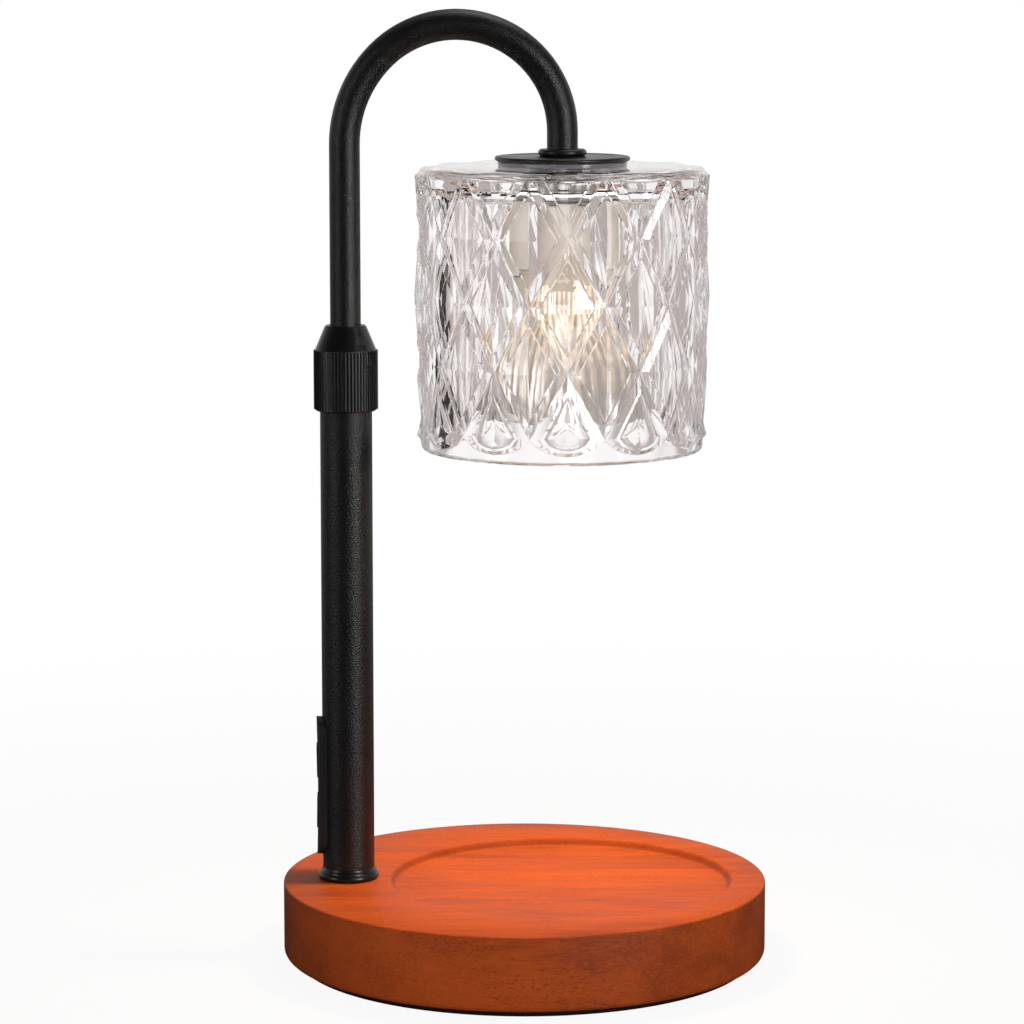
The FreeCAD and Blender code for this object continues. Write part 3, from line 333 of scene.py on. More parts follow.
class Recipe:
    """Lays out the nodes of one material or world."""

    def __init__(self, tree: bpy.types.NodeTree) -> None:
        """Start with an empty tree, which is to be filled."""
        self.tree = tree
        tree.nodes.clear()

    def join(self, target: Socket, value: Any) -> None:
        """Link an input to another node's socket, or give it a plain value.

        Args:
            target: The input.
            value: The socket or the value.
        """
        if isinstance(value, Socket):
            self.tree.links.new(value, target)
        else:
            target.default_value = value

    def node(self, kind: str, inputs: dict[Any, Any] | None = None, **options: Any) -> bpy.types.Node:
        """Add a node.

        Args:
            kind: The node's type.
            inputs: A value or another node's socket for each named or numbered input.
            **options: The node's own settings.

        Returns:
            The node.
        """
        node = self.tree.nodes.new(kind)
        for option, value in options.items():
            setattr(node, option, value)
        for key, value in (inputs or {}).items():
            self.join(node.inputs[key], value)
        return node

    def feed(self, shader: bpy.types.Node, **inputs: Any) -> None:
        """Set a shader's inputs, whose names are written with underscores for spaces."""
        for key, value in inputs.items():
            self.join(shader.inputs[key.replace("_", " ")], value)

    def math(self, operation: str, *values: Any) -> Socket:
        """Work out one number from numbers or sockets."""
        return self.node("ShaderNodeMath", dict(enumerate(values)), operation=operation).outputs[0]

    def length(self, first: Any, second: Any) -> Socket:
        """The length of a vector with two parts."""
        squares = [self.math("MULTIPLY", part, part) for part in (first, second)]
        return self.math("SQRT", self.math("ADD", *squares))

    def span(self, value: Any, reach: Pair, result: Pair = (0.0, 1.0)) -> Socket:
        """Stretch a range of a number onto another range, with a soft start and end.

        Args:
            value: The number's socket.
            reach: Where the range starts and ends.
            result: What the number becomes there.

        Returns:
            The socket with the result.
        """
        inputs = {"Value": value, "From Min": reach[0], "From Max": reach[1],
                  "To Min": result[0], "To Max": result[1]}
        return self.node("ShaderNodeMapRange", inputs, interpolation_type="SMOOTHSTEP").outputs[0]

    def mix(self, share: Any, first: Any, second: Any) -> Socket:
        """Two colours or their sockets mixed, with this share of the second."""
        inputs = {"Factor": share, 6: opaque(first), 7: opaque(second)}
        return self.node("ShaderNodeMix", inputs, data_type="RGBA").outputs[2]

    def place(self, stretch: Triple = (1, 1, 1), shift: Triple = (0, 0, 0)) -> Socket:
        """Coordinates on the piece, in metres.

        Args:
            stretch: The scale along each axis.
            shift: What is added along each axis after that.

        Returns:
            The socket with the coordinates.
        """
        source = self.node("ShaderNodeTexCoord").outputs["Object"]
        return self.node("ShaderNodeMapping", {"Vector": source, "Scale": stretch,
                                               "Location": shift}).outputs[0]

    def axes(self, where: Socket) -> Any:
        """Coordinates by the name of their axis."""
        return self.node("ShaderNodeSeparateXYZ", {0: where}).outputs

    def clouds(self, pattern: Clouds, bend: Socket | None = None) -> Socket:
        """A cloudy pattern.

        Args:
            pattern: How it is laid out.
            bend: A number that is added to all its coordinates.

        Returns:
            The socket with the pattern.
        """
        where = self.place(pattern.stretch, pattern.shift)
        if bend is not None:
            bent = self.node("ShaderNodeCombineXYZ", dict.fromkeys("XYZ", bend)).outputs[0]
            where = self.node("ShaderNodeVectorMath", {0: where, 1: bent}, operation="ADD").outputs[0]
        inputs = {"Vector": where, "Scale": pattern.scale, "Detail": pattern.detail,
                  "Roughness": pattern.roughness}
        return self.node("ShaderNodeTexNoise", inputs).outputs["Fac"]

    def bump(self, height: Any, depth: float, strength: float = 1.0) -> Socket:
        """The normal of a relief in which a pattern's 1 stands this many metres high."""
        return self.node("ShaderNodeBump", {"Height": height, "Distance": depth,
                                            "Strength": strength}).outputs[0]


def opaque(colour: Any) -> Any:
    """Add full opacity to a colour of three numbers, and leave anything else as it is."""
    return (*colour, 1.0) if isinstance(colour, tuple) and len(colour) == 3 else colour


@dataclass(frozen=True)
class Finish:
    """What a surface is made of. Each kind of finish says how it is shaded."""

    name: str
    colour: Triple = (0.5, 0.5, 0.5)
    roughness: float = 0.5
    spread: ClassVar[Pair] = (-0.04, 0.05)

    def material(self) -> bpy.types.Material:
        """Make the finish's material, the first time that it is asked for.

        Returns:
            The material.
        """
        found = bpy.data.materials.get(self.name)
        if found:
            return found
        material = bpy.data.materials.new(self.name)
        material.use_nodes = True
        recipe = Recipe(material.node_tree)
        shader = recipe.node("ShaderNodeBsdfPrincipled",
                             {"Base Color": opaque(self.colour), "Roughness": self.roughness})
        recipe.node("ShaderNodeOutputMaterial", {"Surface": shader.outputs[0]})
        self.shade(recipe, shader)
        return material

    def shade(self, recipe: Recipe, shader: bpy.types.Node) -> None:
        """Add what makes this finish more than a plain colour."""

    def gloss(self, recipe: Recipe, pattern: Socket) -> Socket:
        """The finish's roughness, which follows a cloudy pattern within its spread."""
        return recipe.span(pattern, MIDDLE, tuple(self.roughness + change for change in self.spread))

    def tint(self, ratio: float) -> tuple[float, ...]:
        """The finish's colour, this many times as light."""
        return tuple(ratio * part for part in self.colour)


@dataclass(frozen=True)
class StainedWood(Finish):
    """Red-brown stained hardwood under a satin varnish, its grain along X."""

    dark: Triple = (0.33, 0.052, 0.013)
    light: Triple = (0.66, 0.112, 0.017)
    pore: Triple = (0.11, 0.022, 0.008)
    bend: Clouds = Clouds((14, 20, 20))
    bend_size: float = 0.9
    figure: Clouds = Clouds((8, 60, 60), (0.3, 0.1, 0.0), detail=5.0, roughness=0.62)
    figure_share: float = 0.66
    fibres: Clouds = Clouds((60, 1500, 1500), detail=3.0, roughness=0.6)
    tone_reach: Pair = (0.3, 0.62)
    blotches: Clouds = Clouds((22, 40, 40), (5.0, 2.0, 1.0), detail=3.0)
    blotch_reach: Pair = (0.35, 0.75)
    blotch_share: float = 0.25
    pores: Clouds = Clouds((700, 2600, 2600), (1.0, 3.0, 2.0), detail=1.0)
    pore_limit: Pair = (0.68, 0.58)
    pore_edge: float = 0.05
    pore_share: float = 0.45
    clusters: Clouds = Clouds((35, 90, 90), (2.0, 4.0, 7.0))
    cluster_reach: Pair = (0.35, 0.7)
    seat_shift: float = 11.4 * MM
    seat_edge: float = 52.4 * MM
    # Painted shade at the seat's step: how wide the darker ring is and how far it goes towards the pore
    # colour.
    seat_shade_width: float = 1.3 * MM
    seat_shade_share: float = 0.5
    depth: float = 0.03 * MM
    relief: float = 0.5
    shine: float = 0.12
    spread: ClassVar[Pair] = (-0.05, 0.07)

    def shade(self, recipe: Recipe, shader: bpy.types.Node) -> None:
        """Figure, fibres and pores that run along the grain, and painted shade: a darker ring at the seat's
        edge.

        Args:
            recipe: The material's nodes.
            shader: Its surface shader.
        """
        figure = recipe.clouds(self.figure, recipe.math("MULTIPLY", recipe.clouds(self.bend), self.bend_size))
        fibres = recipe.clouds(self.fibres)
        tone = recipe.math("ADD", recipe.math("MULTIPLY", figure, self.figure_share),
                           recipe.math("MULTIPLY", fibres, 1 - self.figure_share))
        base = recipe.mix(recipe.span(tone, self.tone_reach), self.dark, self.light)
        blotches = recipe.span(recipe.clouds(self.blotches), self.blotch_reach, (0.0, self.blotch_share))
        base = recipe.mix(blotches, base, self.light)
        # Painted shade: the wood turns towards the pore colour in a ring round the seat's step, in place of
        # the shade that falls in the recess.
        seat = recipe.axes(recipe.place(shift=(-self.seat_shift, 0, 0)))
        reach = recipe.length(seat["X"], seat["Y"])
        gap = recipe.math("ABSOLUTE", recipe.math("SUBTRACT", reach, self.seat_edge))
        base = recipe.mix(recipe.span(gap, (0.0, self.seat_shade_width), (self.seat_shade_share, 0.0)), base, self.pore)
        limit = recipe.span(recipe.clouds(self.clusters), self.cluster_reach, self.pore_limit)
        holes = recipe.span(recipe.math("SUBTRACT", recipe.clouds(self.pores), limit), (0.0, self.pore_edge))
        base = recipe.mix(recipe.math("MULTIPLY", holes, self.pore_share), base, self.pore)
        surface = recipe.bump(recipe.math("SUBTRACT", fibres, holes), self.depth, self.relief)
        recipe.feed(shader, Base_Color=base, Roughness=self.gloss(recipe, figure), Normal=surface,
                    Specular_IOR_Level=self.shine)


@dataclass(frozen=True)
class PowderCoat(Finish):
    """Black powder coat with a fine texture."""

    grains: Clouds = Clouds(scale=2400.0, detail=1.0)
    depth: float = 0.19 * MM
    relief: float = 0.8
    speck_reach: Pair = (0.58, 0.78)
    speck_share: float = 0.5
    speck_tint: float = 4.0
    slow: Clouds = Clouds(scale=40.0)
    shine: float = 0.45
    spread: ClassVar[Pair] = (-0.03, 0.05)

    def shade(self, recipe: Recipe, shader: bpy.types.Node) -> None:
        """Fine grains, a few of them paler, over a slow change of gloss.

        Args:
            recipe: The material's nodes.
            shader: Its surface shader.
        """
        grains = recipe.clouds(self.grains)
        speck = recipe.math("MULTIPLY", recipe.span(grains, self.speck_reach), self.speck_share)
        recipe.feed(shader, Base_Color=recipe.mix(speck, self.colour, self.tint(self.speck_tint)),
                    Roughness=self.gloss(recipe, recipe.clouds(self.slow)), Specular_IOR_Level=self.shine,
                    Normal=recipe.bump(grains, self.depth, self.relief))


@dataclass(frozen=True)
class SatinBlack(Finish):
    """Smooth satin black on turned metal, with faint lathe lines round its upright axis."""

    lines: Clouds = Clouds((25, 25, 1700), detail=1.0)
    depth: float = 0.006 * MM
    relief: float = 0.5
    marks: Clouds = Clouds((90, 90, 60), detail=4.0, roughness=0.7)
    mark_share: float = 0.4
    mark_tint: float = 2.0
    shine: float = 0.5
    spread: ClassVar[Pair] = (-0.04, 0.08)

    def shade(self, recipe: Recipe, shader: bpy.types.Node) -> None:
        """Lathe lines that change with height, and faint handling marks.

        Args:
            recipe: The material's nodes.
            shader: Its surface shader.
        """
        marks = recipe.clouds(self.marks)
        share = recipe.math("MULTIPLY", marks, self.mark_share)
        recipe.feed(shader, Base_Color=recipe.mix(share, self.colour, self.tint(self.mark_tint)),
                    Roughness=self.gloss(recipe, marks), Specular_IOR_Level=self.shine,
                    Normal=recipe.bump(recipe.clouds(self.lines), self.depth, self.relief))


@dataclass(frozen=True)
class PressedGlass(Finish):
    """Clear pressed glass, fire polished, with a slight waviness from the mould."""

    index: float = 1.5
    ripples: Clouds = Clouds(scale=170.0)
    depth: float = 0.05 * MM
    relief: float = 0.6

    def shade(self, recipe: Recipe, shader: bpy.types.Node) -> None:
        """Slow ripples over a clear, faintly warm body."""
        recipe.feed(shader, Transmission_Weight=1.0, IOR=self.index,
                    Normal=recipe.bump(recipe.clouds(self.ripples), self.depth, self.relief))


@dataclass(frozen=True)
class ClearPart(Finish):
    """A plainly clear or milky moulded part."""

    clarity: float = 1.0
    index: float = 1.45
    haze: Clouds = Clouds(scale=300.0, detail=3.0)
    ratios: Pair = (0.7, 1.3)

    def shade(self, recipe: Recipe, shader: bpy.types.Node) -> None:
        """Light passes, with a faint cloudiness in its gloss.

        Args:
            recipe: The material's nodes.
            shader: Its surface shader.
        """
        gloss = recipe.span(recipe.clouds(self.haze), MIDDLE,
                            tuple(self.roughness * ratio for ratio in self.ratios))
        recipe.feed(shader, Transmission_Weight=self.clarity, IOR=self.index, Roughness=gloss)


@dataclass(frozen=True)
class Moulded(Finish):
    """Moulded plastic, rubber, foam or ceramic with a fine even texture."""

    grain: float = 900.0
    depth: float = 0.02 * MM
    speckle: float = 0.1
    shine: float = 0.4
    patches: Clouds = Clouds(scale=60.0, detail=3.0)
    speckle_tint: float = 0.45
    relief: float = 0.7
    texture: Clouds = Clouds(detail=3.0, roughness=0.6)
    patch_share: float = 0.5

    def shade(self, recipe: Recipe, shader: bpy.types.Node) -> None:
        """A fine texture, with a little of it in the colour.

        Args:
            recipe: The material's nodes.
            shader: Its surface shader.
        """
        texture = recipe.clouds(replace(self.texture, scale=self.grain))
        patches = recipe.clouds(self.patches)
        mottle = recipe.math("ADD", recipe.math("MULTIPLY", texture, 1 - self.patch_share),
                             recipe.math("MULTIPLY", patches, self.patch_share))
        share = recipe.span(mottle, MIDDLE, (0.0, self.speckle))
        recipe.feed(shader, Base_Color=recipe.mix(share, self.colour, self.tint(self.speckle_tint)),
                    Roughness=self.gloss(recipe, patches), Specular_IOR_Level=self.shine,
                    Normal=recipe.bump(texture, self.depth, self.relief))


class Mark(Enum):
    """The symbols on the keys."""

    POWER = "power"
    CLOCK = "clock"


@dataclass(frozen=True)
class KeyRubber(Moulded):
    """Black key rubber with a pale symbol on the face that looks along -X."""

    mark: Mark = Mark.POWER
    height: float = 0.0
    size: float = 1.15 * MM
    line: float = 0.16 * MM
    pale: Triple = (0.6, 0.6, 0.59)
    gap_lines: float = 3.0
    power_bar: float = 1.3
    long_hand: float = 0.7
    short_hand: float = 0.6

    def shade(self, recipe: Recipe, shader: bpy.types.Node) -> None:
        """The rubber, then the symbol drawn from distances on the key's face.

        Args:
            recipe: The material's nodes.
            shader: Its surface shader.
        """
        super().shade(recipe, shader)
        place = recipe.axes(recipe.place(shift=(0, 0, -self.height)))
        across, up = place["Y"], place["Z"]
        ring = self._line(recipe, recipe.math("SUBTRACT", recipe.length(across, up), self.size))
        if self.mark is Mark.POWER:
            bar = self._bar(recipe, across, up, self.power_bar)
            gap = recipe.math("MULTIPLY", self._line(recipe, across, self.gap_lines),
                              recipe.math("GREATER_THAN", up, 0.0))
            ring = recipe.math("MULTIPLY", ring, recipe.math("SUBTRACT", 1.0, gap))
        else:
            bar = recipe.math("MAXIMUM", self._bar(recipe, across, up, self.long_hand),
                              self._bar(recipe, up, across, self.short_hand))
        rubber = shader.inputs["Base Color"].links[0].from_socket
        drawn = recipe.math("MAXIMUM", ring, bar)
        recipe.feed(shader, Base_Color=recipe.mix(drawn, rubber, self.pale))

    def _line(self, recipe: Recipe, gap: Socket, width: float = 1.0) -> Socket:
        """1 where a distance is less than this many of the line's half widths, 0 beyond them."""
        return recipe.math("LESS_THAN", recipe.math("ABSOLUTE", gap), width * self.line)

    def _bar(self, recipe: Recipe, across: Socket, along: Socket, length: float) -> Socket:
        """A straight line that starts at the symbol's centre.

        Args:
            recipe: The material's nodes.
            across: The distance across the line.
            along: The distance along it.
            length: How long the line is, as a share of the symbol's radius.

        Returns:
            The socket with the line.
        """
        started = recipe.math("GREATER_THAN", along, 0.0)
        ended = recipe.math("LESS_THAN", along, length * self.size)
        return recipe.math("MULTIPLY", self._line(recipe, across), recipe.math("MULTIPLY", started, ended))


@dataclass(frozen=True)
class BareMetal(Finish):
    """Plated or turned metal with fine wear."""

    metal: float = 1.0
    wear: Clouds = Clouds((400, 400, 2600), detail=3.0, roughness=0.7)
    depth: float = 0.004 * MM
    relief: float = 0.5
    tone: Clouds = Clouds(scale=90.0)
    tone_share: float = 0.35
    tone_tint: float = 0.6
    spread: ClassVar[Pair] = (-0.08, 0.12)

    def shade(self, recipe: Recipe, shader: bpy.types.Node) -> None:
        """Scratches in the gloss and a slow change of tone.

        Args:
            recipe: The material's nodes.
            shader: Its surface shader.
        """
        wear = recipe.clouds(self.wear)
        share = recipe.span(recipe.clouds(self.tone), MIDDLE, (0.0, self.tone_share))
        recipe.feed(shader, Base_Color=recipe.mix(share, self.colour, self.tint(self.tone_tint)),
                    Metallic=self.metal, Roughness=self.gloss(recipe, wear),
                    Normal=recipe.bump(wear, self.depth, self.relief))


@dataclass(frozen=True)
class LitReflector(Finish):
    """The bulb's fluted and coated reflector, lit from inside: it glows warm, most near its neck."""

    glow: Triple = (1.0, 0.68, 0.36)
    strength: float = 0.78
    heights: Pair = (0.173, 0.206)
    rise: Pair = (0.05, 1.0)
    axis: float = 11.4 * MM
    flutes: float = 30.0
    flute_depth: float = 0.3 * MM
    flute_light: Pair = (0.3, 1.0)
    coat: Clouds = Clouds(scale=320.0)
    coat_reach: Pair = (0.35, 0.65)
    coat_light: Pair = (0.5, 1.0)
    metal: float = 0.7

    def shade(self, recipe: Recipe, shader: bpy.types.Node) -> None:
        """A glow that grows with height, broken up by the flutes and the coating.

        Args:
            recipe: The material's nodes.
            shader: Its surface shader.
        """
        place = recipe.axes(recipe.place(shift=(-self.axis, 0, 0)))
        turn = recipe.math("MULTIPLY", recipe.math("ARCTAN2", place["Y"], place["X"]), self.flutes)
        flute = recipe.span(recipe.math("COSINE", turn), (-1.0, 1.0))
        rise = recipe.span(place["Z"], self.heights, self.rise)
        coat = recipe.span(recipe.clouds(self.coat), self.coat_reach, self.coat_light)
        light = recipe.math("MULTIPLY", recipe.math("MULTIPLY", rise, coat), self.strength)
        light = recipe.math("MULTIPLY", light, recipe.span(flute, (0.0, 1.0), self.flute_light))
        recipe.feed(shader, Metallic=self.metal, Emission_Color=opaque(self.glow), Emission_Strength=light,
                    Normal=recipe.bump(flute, self.flute_depth))


@dataclass(frozen=True)
class Glow(Finish):
    """A surface that gives light, such as the burning capsule."""

    strength: float = 6.0
    heights: Pair = (0.1845, 0.2035)
    least: float = 0.25

    def shade(self, recipe: Recipe, shader: bpy.types.Node) -> None:
        """Bright at the middle of its height and dimmer at its ends.

        Args:
            recipe: The material's nodes.
            shader: Its surface shader.
        """
        along = recipe.span(recipe.axes(recipe.place())["Z"], self.heights, (-1.0, 1.0))
        bright = recipe.math("SUBTRACT", 1.0, recipe.math("MULTIPLY", along, along))
        light = recipe.math("MULTIPLY", recipe.math("ADD", bright, self.least), self.strength)
        recipe.feed(shader, Emission_Color=opaque(self.colour), Emission_Strength=light)


WOOD = StainedWood("stained_wood", roughness=0.54)
POWDER = PowderCoat("powder_coat_black", (0.006, 0.0058, 0.0058), 0.35)
SATIN = SatinBlack("satin_black", (0.005, 0.005, 0.005), 0.28)
CAP_SATIN = SatinBlack("cap_satin", (0.012, 0.009, 0.008), 0.34)
GLASS = PressedGlass("pressed_glass_clear", (1.0, 0.984, 0.979), 0.0)
SILICONE = ClearPart("silicone", (0.44, 0.45, 0.50), 0.08, 0.45, 1.41)
FOAM = Moulded("foam_sheet", (0.012, 0.012, 0.012), 0.9, 1400.0, 0.12 * MM, 0.3, 0.2)
RUBBER = Moulded("rubber_black", (0.012, 0.012, 0.012), 0.62, 900.0, 0.02 * MM, 0.2, 0.35)
PANEL = Moulded("panel_black", (0.012, 0.012, 0.013), 0.48, 1500.0, 0.02 * MM, 0.2, 0.4)
POWER_KEY, TIMER_KEY = (
    KeyRubber(name, (0.022, 0.022, 0.023), 0.58, 1200.0, 0.015 * MM, 0.2, 0.35, mark=mark, height=height)
    for name, mark, height in (("key_rubber_power", Mark.POWER, 62.25 * MM),
                               ("key_rubber_timer", Mark.CLOCK, 46.45 * MM)))
SWITCH = Moulded("switch_black", (0.03, 0.03, 0.03), 0.5)
BLOCK = Moulded("pale_plastic_white", (0.70, 0.68, 0.62), 0.5)
NYLON = Moulded("nylon_natural", (0.72, 0.69, 0.56), 0.45)
BOARD = Moulded("board_green", (0.02, 0.12, 0.05), 0.4, 500.0, 0.01 * MM, 0.3, 0.5)
HOLDER = Moulded("holder_cream", (0.93, 0.85, 0.76), 0.7, 1000.0, 0.05 * MM, 0.15, 0.3)
CERAMIC = Moulded("bulb_ceramic_cream", (0.76, 0.68, 0.56), 0.55, 900.0, 0.03 * MM, 0.12, 0.4)
STEEL = BareMetal("steel_plated", (0.72, 0.69, 0.64), 0.42, 0.35)
BRASS = BareMetal("brass_turned", (0.70, 0.52, 0.24), 0.32)
LIGHT_GUIDE = ClearPart("light_guide_clear", (0.85, 0.85, 0.82), 0.15, 0.8, 1.49)
LENS = ClearPart("lens_clear", (0.98, 0.95, 0.88), 0.04, 1.0, 1.5)
REFLECTOR = LitReflector("reflector_lit", (0.62, 0.60, 0.58), 0.2)
CAPSULE = Glow("capsule_lit", (1.0, 0.72, 0.42), 0.3)

CARRIED_OVER: dict[Finish, tuple[str, ...]] = {
    STEEL: ("terminal_screws", "column_nipple", "column_washer", "column_nut", "column_plug", "board_screws",
            "guide_clips", "arm_nipple", "holder_bracket", "shade_nut", "holder_screws", "bulb_pins"),
    RUBBER: ("cable_bush", "base_lead", "arm_lead", "friction_ring", "holder_wires"),
    POWDER: ("column_tube", "gooseneck_tube"),
    BRASS: ("clamp_bush", "contact_springs"),
    NYLON: ("clamp_collet", "guide_bush"),
    BLOCK: ("terminal_block", "indicator_led"),
    PANEL: ("control_bezel",),
    BOARD: ("control_board",),
    SWITCH: ("tact_switches",),
    LIGHT_GUIDE: ("light_pipe",),
    POWER_KEY: ("power_key_cap",),
    TIMER_KEY: ("timer_key_cap",),
    SILICONE: ("lower_gasket",),
    HOLDER: ("lamp_holder",),
    CERAMIC: ("bulb_base",),
    REFLECTOR: ("bulb_reflector",),
    LENS: ("bulb_lens",),
    CAPSULE: ("bulb_capsule",),
}


class Slot(Enum):
    """The record's material slots of the new pieces; nothing here reads them."""

    WOOD = "base_wood"
    FOAM = "pad_foam"
    POWDER = "powder_coat"
    COLLAR = "collar_black"
    LEAD = "lead_sheath"
    GASKET = "clear_silicone"
    GLASS = "pressed_glass"


def dress(solid: Solid, finish: Finish) -> None:
    """Give a piece one finish all over."""
    solid.data.materials.clear()
    solid.data.materials.append(finish.material())


def fit(solid: Solid, body: str, finish: Finish, node: str) -> None:
    """Dress a new piece and put it in the place of the node that it stands for.

    Args:
        solid: The piece.
        body: The body that it rides on.
        finish: Its finish.
        node: The node that it replaces.
    """
    clear_bench()
    dress(solid, finish)
    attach(solid, body)
    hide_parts(node)
    log.info("%s: %d faces on %s", solid.name, len(solid.data.polygons), body)


def dress_frame(nodes: dict[str, Solid]) -> None:
    """Give the carried-over nodes their finishes.

    Args:
        nodes: The frame's nodes by name.
    """
    for finish, names in CARRIED_OVER.items():
        for name in names:
            for slot in nodes[name].material_slots:
                slot.material = finish.material()
    log.info("%d nodes of the frame keep their shape", sum(map(len, CARRIED_OVER.values())))


# ---------------------------------------------------------------- the base


def cut_away(solid: Solid, tool: Solid) -> None:
    """Cut one solid out of another and throw the cutter away.

    Args:
        solid: The piece that is cut.
        tool: The cutter.
    """
    make_active(solid)
    pocket = solid.modifiers.new("pocket", "BOOLEAN")
    pocket.operation = "DIFFERENCE"
    pocket.solver = "EXACT"
    pocket.object = tool
    bpy.ops.object.modifier_apply(modifier=pocket.name)
    bpy.data.objects.remove(tool)


def drill(solid: Solid, place: Vector, radius: float, length: float, turn: Triple = (0, 0, 0)) -> None:
    """Drill a round hole.

    Args:
        solid: The piece that is drilled.
        place: The middle of the hole.
        radius: The hole's radius.
        length: How long the drill is.
        turn: How the drill is turned from upright, in radians.
    """
    clear_bench()
    bpy.ops.mesh.primitive_cylinder_add(vertices=DRILL_SIDES, radius=radius, depth=length, location=place,
                                        rotation=turn)
    cut_away(solid, bpy.context.object)


def mill(solid: Solid, low: Vector, high: Vector) -> None:
    """Mill a pocket with flat sides.

    Args:
        solid: The piece that is milled.
        low: The pocket's lowest corner.
        high: Its highest corner.
    """
    clear_bench()
    bpy.ops.mesh.primitive_cube_add(size=1, location=(low + high) / 2, scale=high - low)
    cut_away(solid, bpy.context.object)


@dataclass
class WoodenBase:
    """The round wooden base with its shallow candle seat, its pockets underneath and the cable inlet."""

    seat_shift: float = 11.4 * MM
    seat_radius: float = 53.2 * MM
    seat_slope: float = 1.2 * MM
    seat_depth: float = 2.0 * MM
    top_ease: float = 0.7 * MM
    foot_round: float = 2.0 * MM
    seat_ease: float = 0.6 * MM
    nut_pocket: Pair = (13.0 * MM, 15.0 * MM)
    block_pocket: Triple = (26.0 * MM, 20.0 * MM, 11.0 * MM)
    channel: Pair = (9.0 * MM, 7.0 * MM)
    column_hole: float = 4.5 * MM
    inlet_gap: float = 0.05 * MM
    sides: int = 192
    place: Place = field(default_factory=lambda: Place.of("wood_base"))
    bush: Place = field(default_factory=lambda: Place.of("cable_bush"))
    block: Place = field(default_factory=lambda: Place.of("terminal_block"))
    column: Place = field(default_factory=lambda: Place.of("column_tube"))

    def turn_block(self) -> Solid:
        """Turn the block and sink the seat into its top.

        Returns:
            The wooden base without its holes.
        """
        axis = self.place.axis
        radius, foot, top = self.place.radius, self.place.foot, self.place.top
        corner = arc((radius - self.foot_round, foot + self.foot_round), self.foot_round, -90, 0, 6)
        form = turned("wooden_base", axis, corner + [(radius, top)], self.sides, hollow=False)
        bpy.ops.mesh.extrude_region_move()
        widen(self.seat_radius / radius, axis)
        bpy.ops.transform.translate(value=(self.seat_shift, 0, 0))
        seat = axis + Vector((self.seat_shift, 0, 0))
        draw_ring((self.seat_radius - self.seat_slope, top - self.seat_depth), (self.seat_radius, top), seat)
        self._ease(form, top, self.top_ease, lambda reach: reach > radius - SMALL)
        self._ease(form, top, self.seat_ease, lambda reach: reach < radius - 2 * self.top_ease)
        self._ease(form, top - self.seat_depth, self.seat_ease, lambda reach: True)
        return form.close()

    def _ease(self, form: Form, height: float, size: float, within: Callable[[float], bool]) -> None:
        """Round a ring of edges.

        Args:
            form: The block on the bench.
            height: The height of the ring.
            size: How far the rounding reaches.
            within: Says of a distance from the block's axis whether the ring may lie there.
        """
        form.pick(Pick.EDGES, lambda edge: all(
            abs(point.co.z - height) < SMALL and within(math.hypot(point.co.x, point.co.y))
            for point in edge.verts))
        bpy.ops.mesh.bevel(offset=size, segments=3, affect="EDGES")

    def cut_holes(self, solid: Solid) -> None:
        """Cut the pockets underneath, the hole for the column's stud and the cable inlet.

        Args:
            solid: The wooden base.
        """
        foot = self.place.foot
        middle, column = self.block.axis, self.column.axis
        radius, depth = self.nut_pocket
        drill(solid, column + Vector((0, 0, foot)), radius, 2 * depth)
        drill(solid, column + Vector((0, 0, self.place.top)), self.column_hole, 2 * self.place.top)
        length, width, height = self.block_pocket
        mill(solid, middle + Vector((-length / 2, -width / 2, -foot)),
             middle + Vector((length / 2, width / 2, foot + height)))
        slot_width, slot_depth = self.channel
        mill(solid, column + Vector((0, -slot_width / 2, -foot)),
             Vector((middle.x, slot_width / 2, foot + slot_depth)))
        inlet = Vector((self.bush.axis.x, self.place.radius / 2, (self.bush.foot + self.bush.top) / 2))
        bore = (self.bush.high.x - self.bush.low.x) / 2 + self.inlet_gap
        drill(solid, inlet, bore, self.place.radius, (math.pi / 2, 0, 0))

    def build(self) -> None:
        """Make the base and put it in place."""
        solid = self.turn_block()
        self.cut_holes(solid)
        smooth(solid)
        fit(solid, "root", WOOD, "wood_base")


@dataclass
class FoamPad:
    """The thin foam sheet glued under the base."""

    edge_round: float = 0.5 * MM
    sides: int = 144
    place: Place = field(default_factory=lambda: Place.of("foam_pad"))

    def build(self) -> None:
        """Cut the pad out and lay it under the base."""
        foot, top, edge = self.place.foot, self.place.top, self.edge_round
        reach = self.place.radius - edge
        profile = arc((reach, foot + edge), edge, -90, 0) + arc((reach, top - edge), edge, 0, 90)
        sheet = turned("foam_pad_sheet", self.place.axis, profile, self.sides, hollow=False).close()
        smooth(sheet)
        fit(sheet, "root", FOAM, "foam_pad")


# ---------------------------------------------------------------- the column and its collar


@dataclass
class FootRing:
    """The bead round the column's foot, which runs up into the tube."""

    bead: float = 1.1 * MM
    bore: float = 8.05 * MM
    lip: float = 0.1 * MM
    fillet: float = 1.3 * MM
    flare_top: float = 3.7 * MM
    bead_arc: tuple[float, float, int] = (-90, 75, 12)
    fillet_arc: tuple[float, float, int] = (232, 180, 6)
    sharp: float = 50.0
    place: Place = field(default_factory=lambda: Place.of("foot_ring"))

    def build(self) -> None:
        """Turn the ring and put it round the column's foot."""
        foot, radius, wall = self.place.foot, self.place.radius, self.bore + self.lip
        flare = foot + self.flare_top
        profile = [(self.bore, foot)]
        profile += arc((radius - self.bead, foot + self.bead), self.bead, *self.bead_arc)
        profile += arc((wall + self.fillet, flare), self.fillet, *self.fillet_arc)
        profile += [(self.bore, flare + self.lip)]
        ring = turned("foot_ring_bead", self.place.axis, profile).close()
        smooth(ring, self.sharp)
        fit(ring, "root", SATIN, "foot_ring")


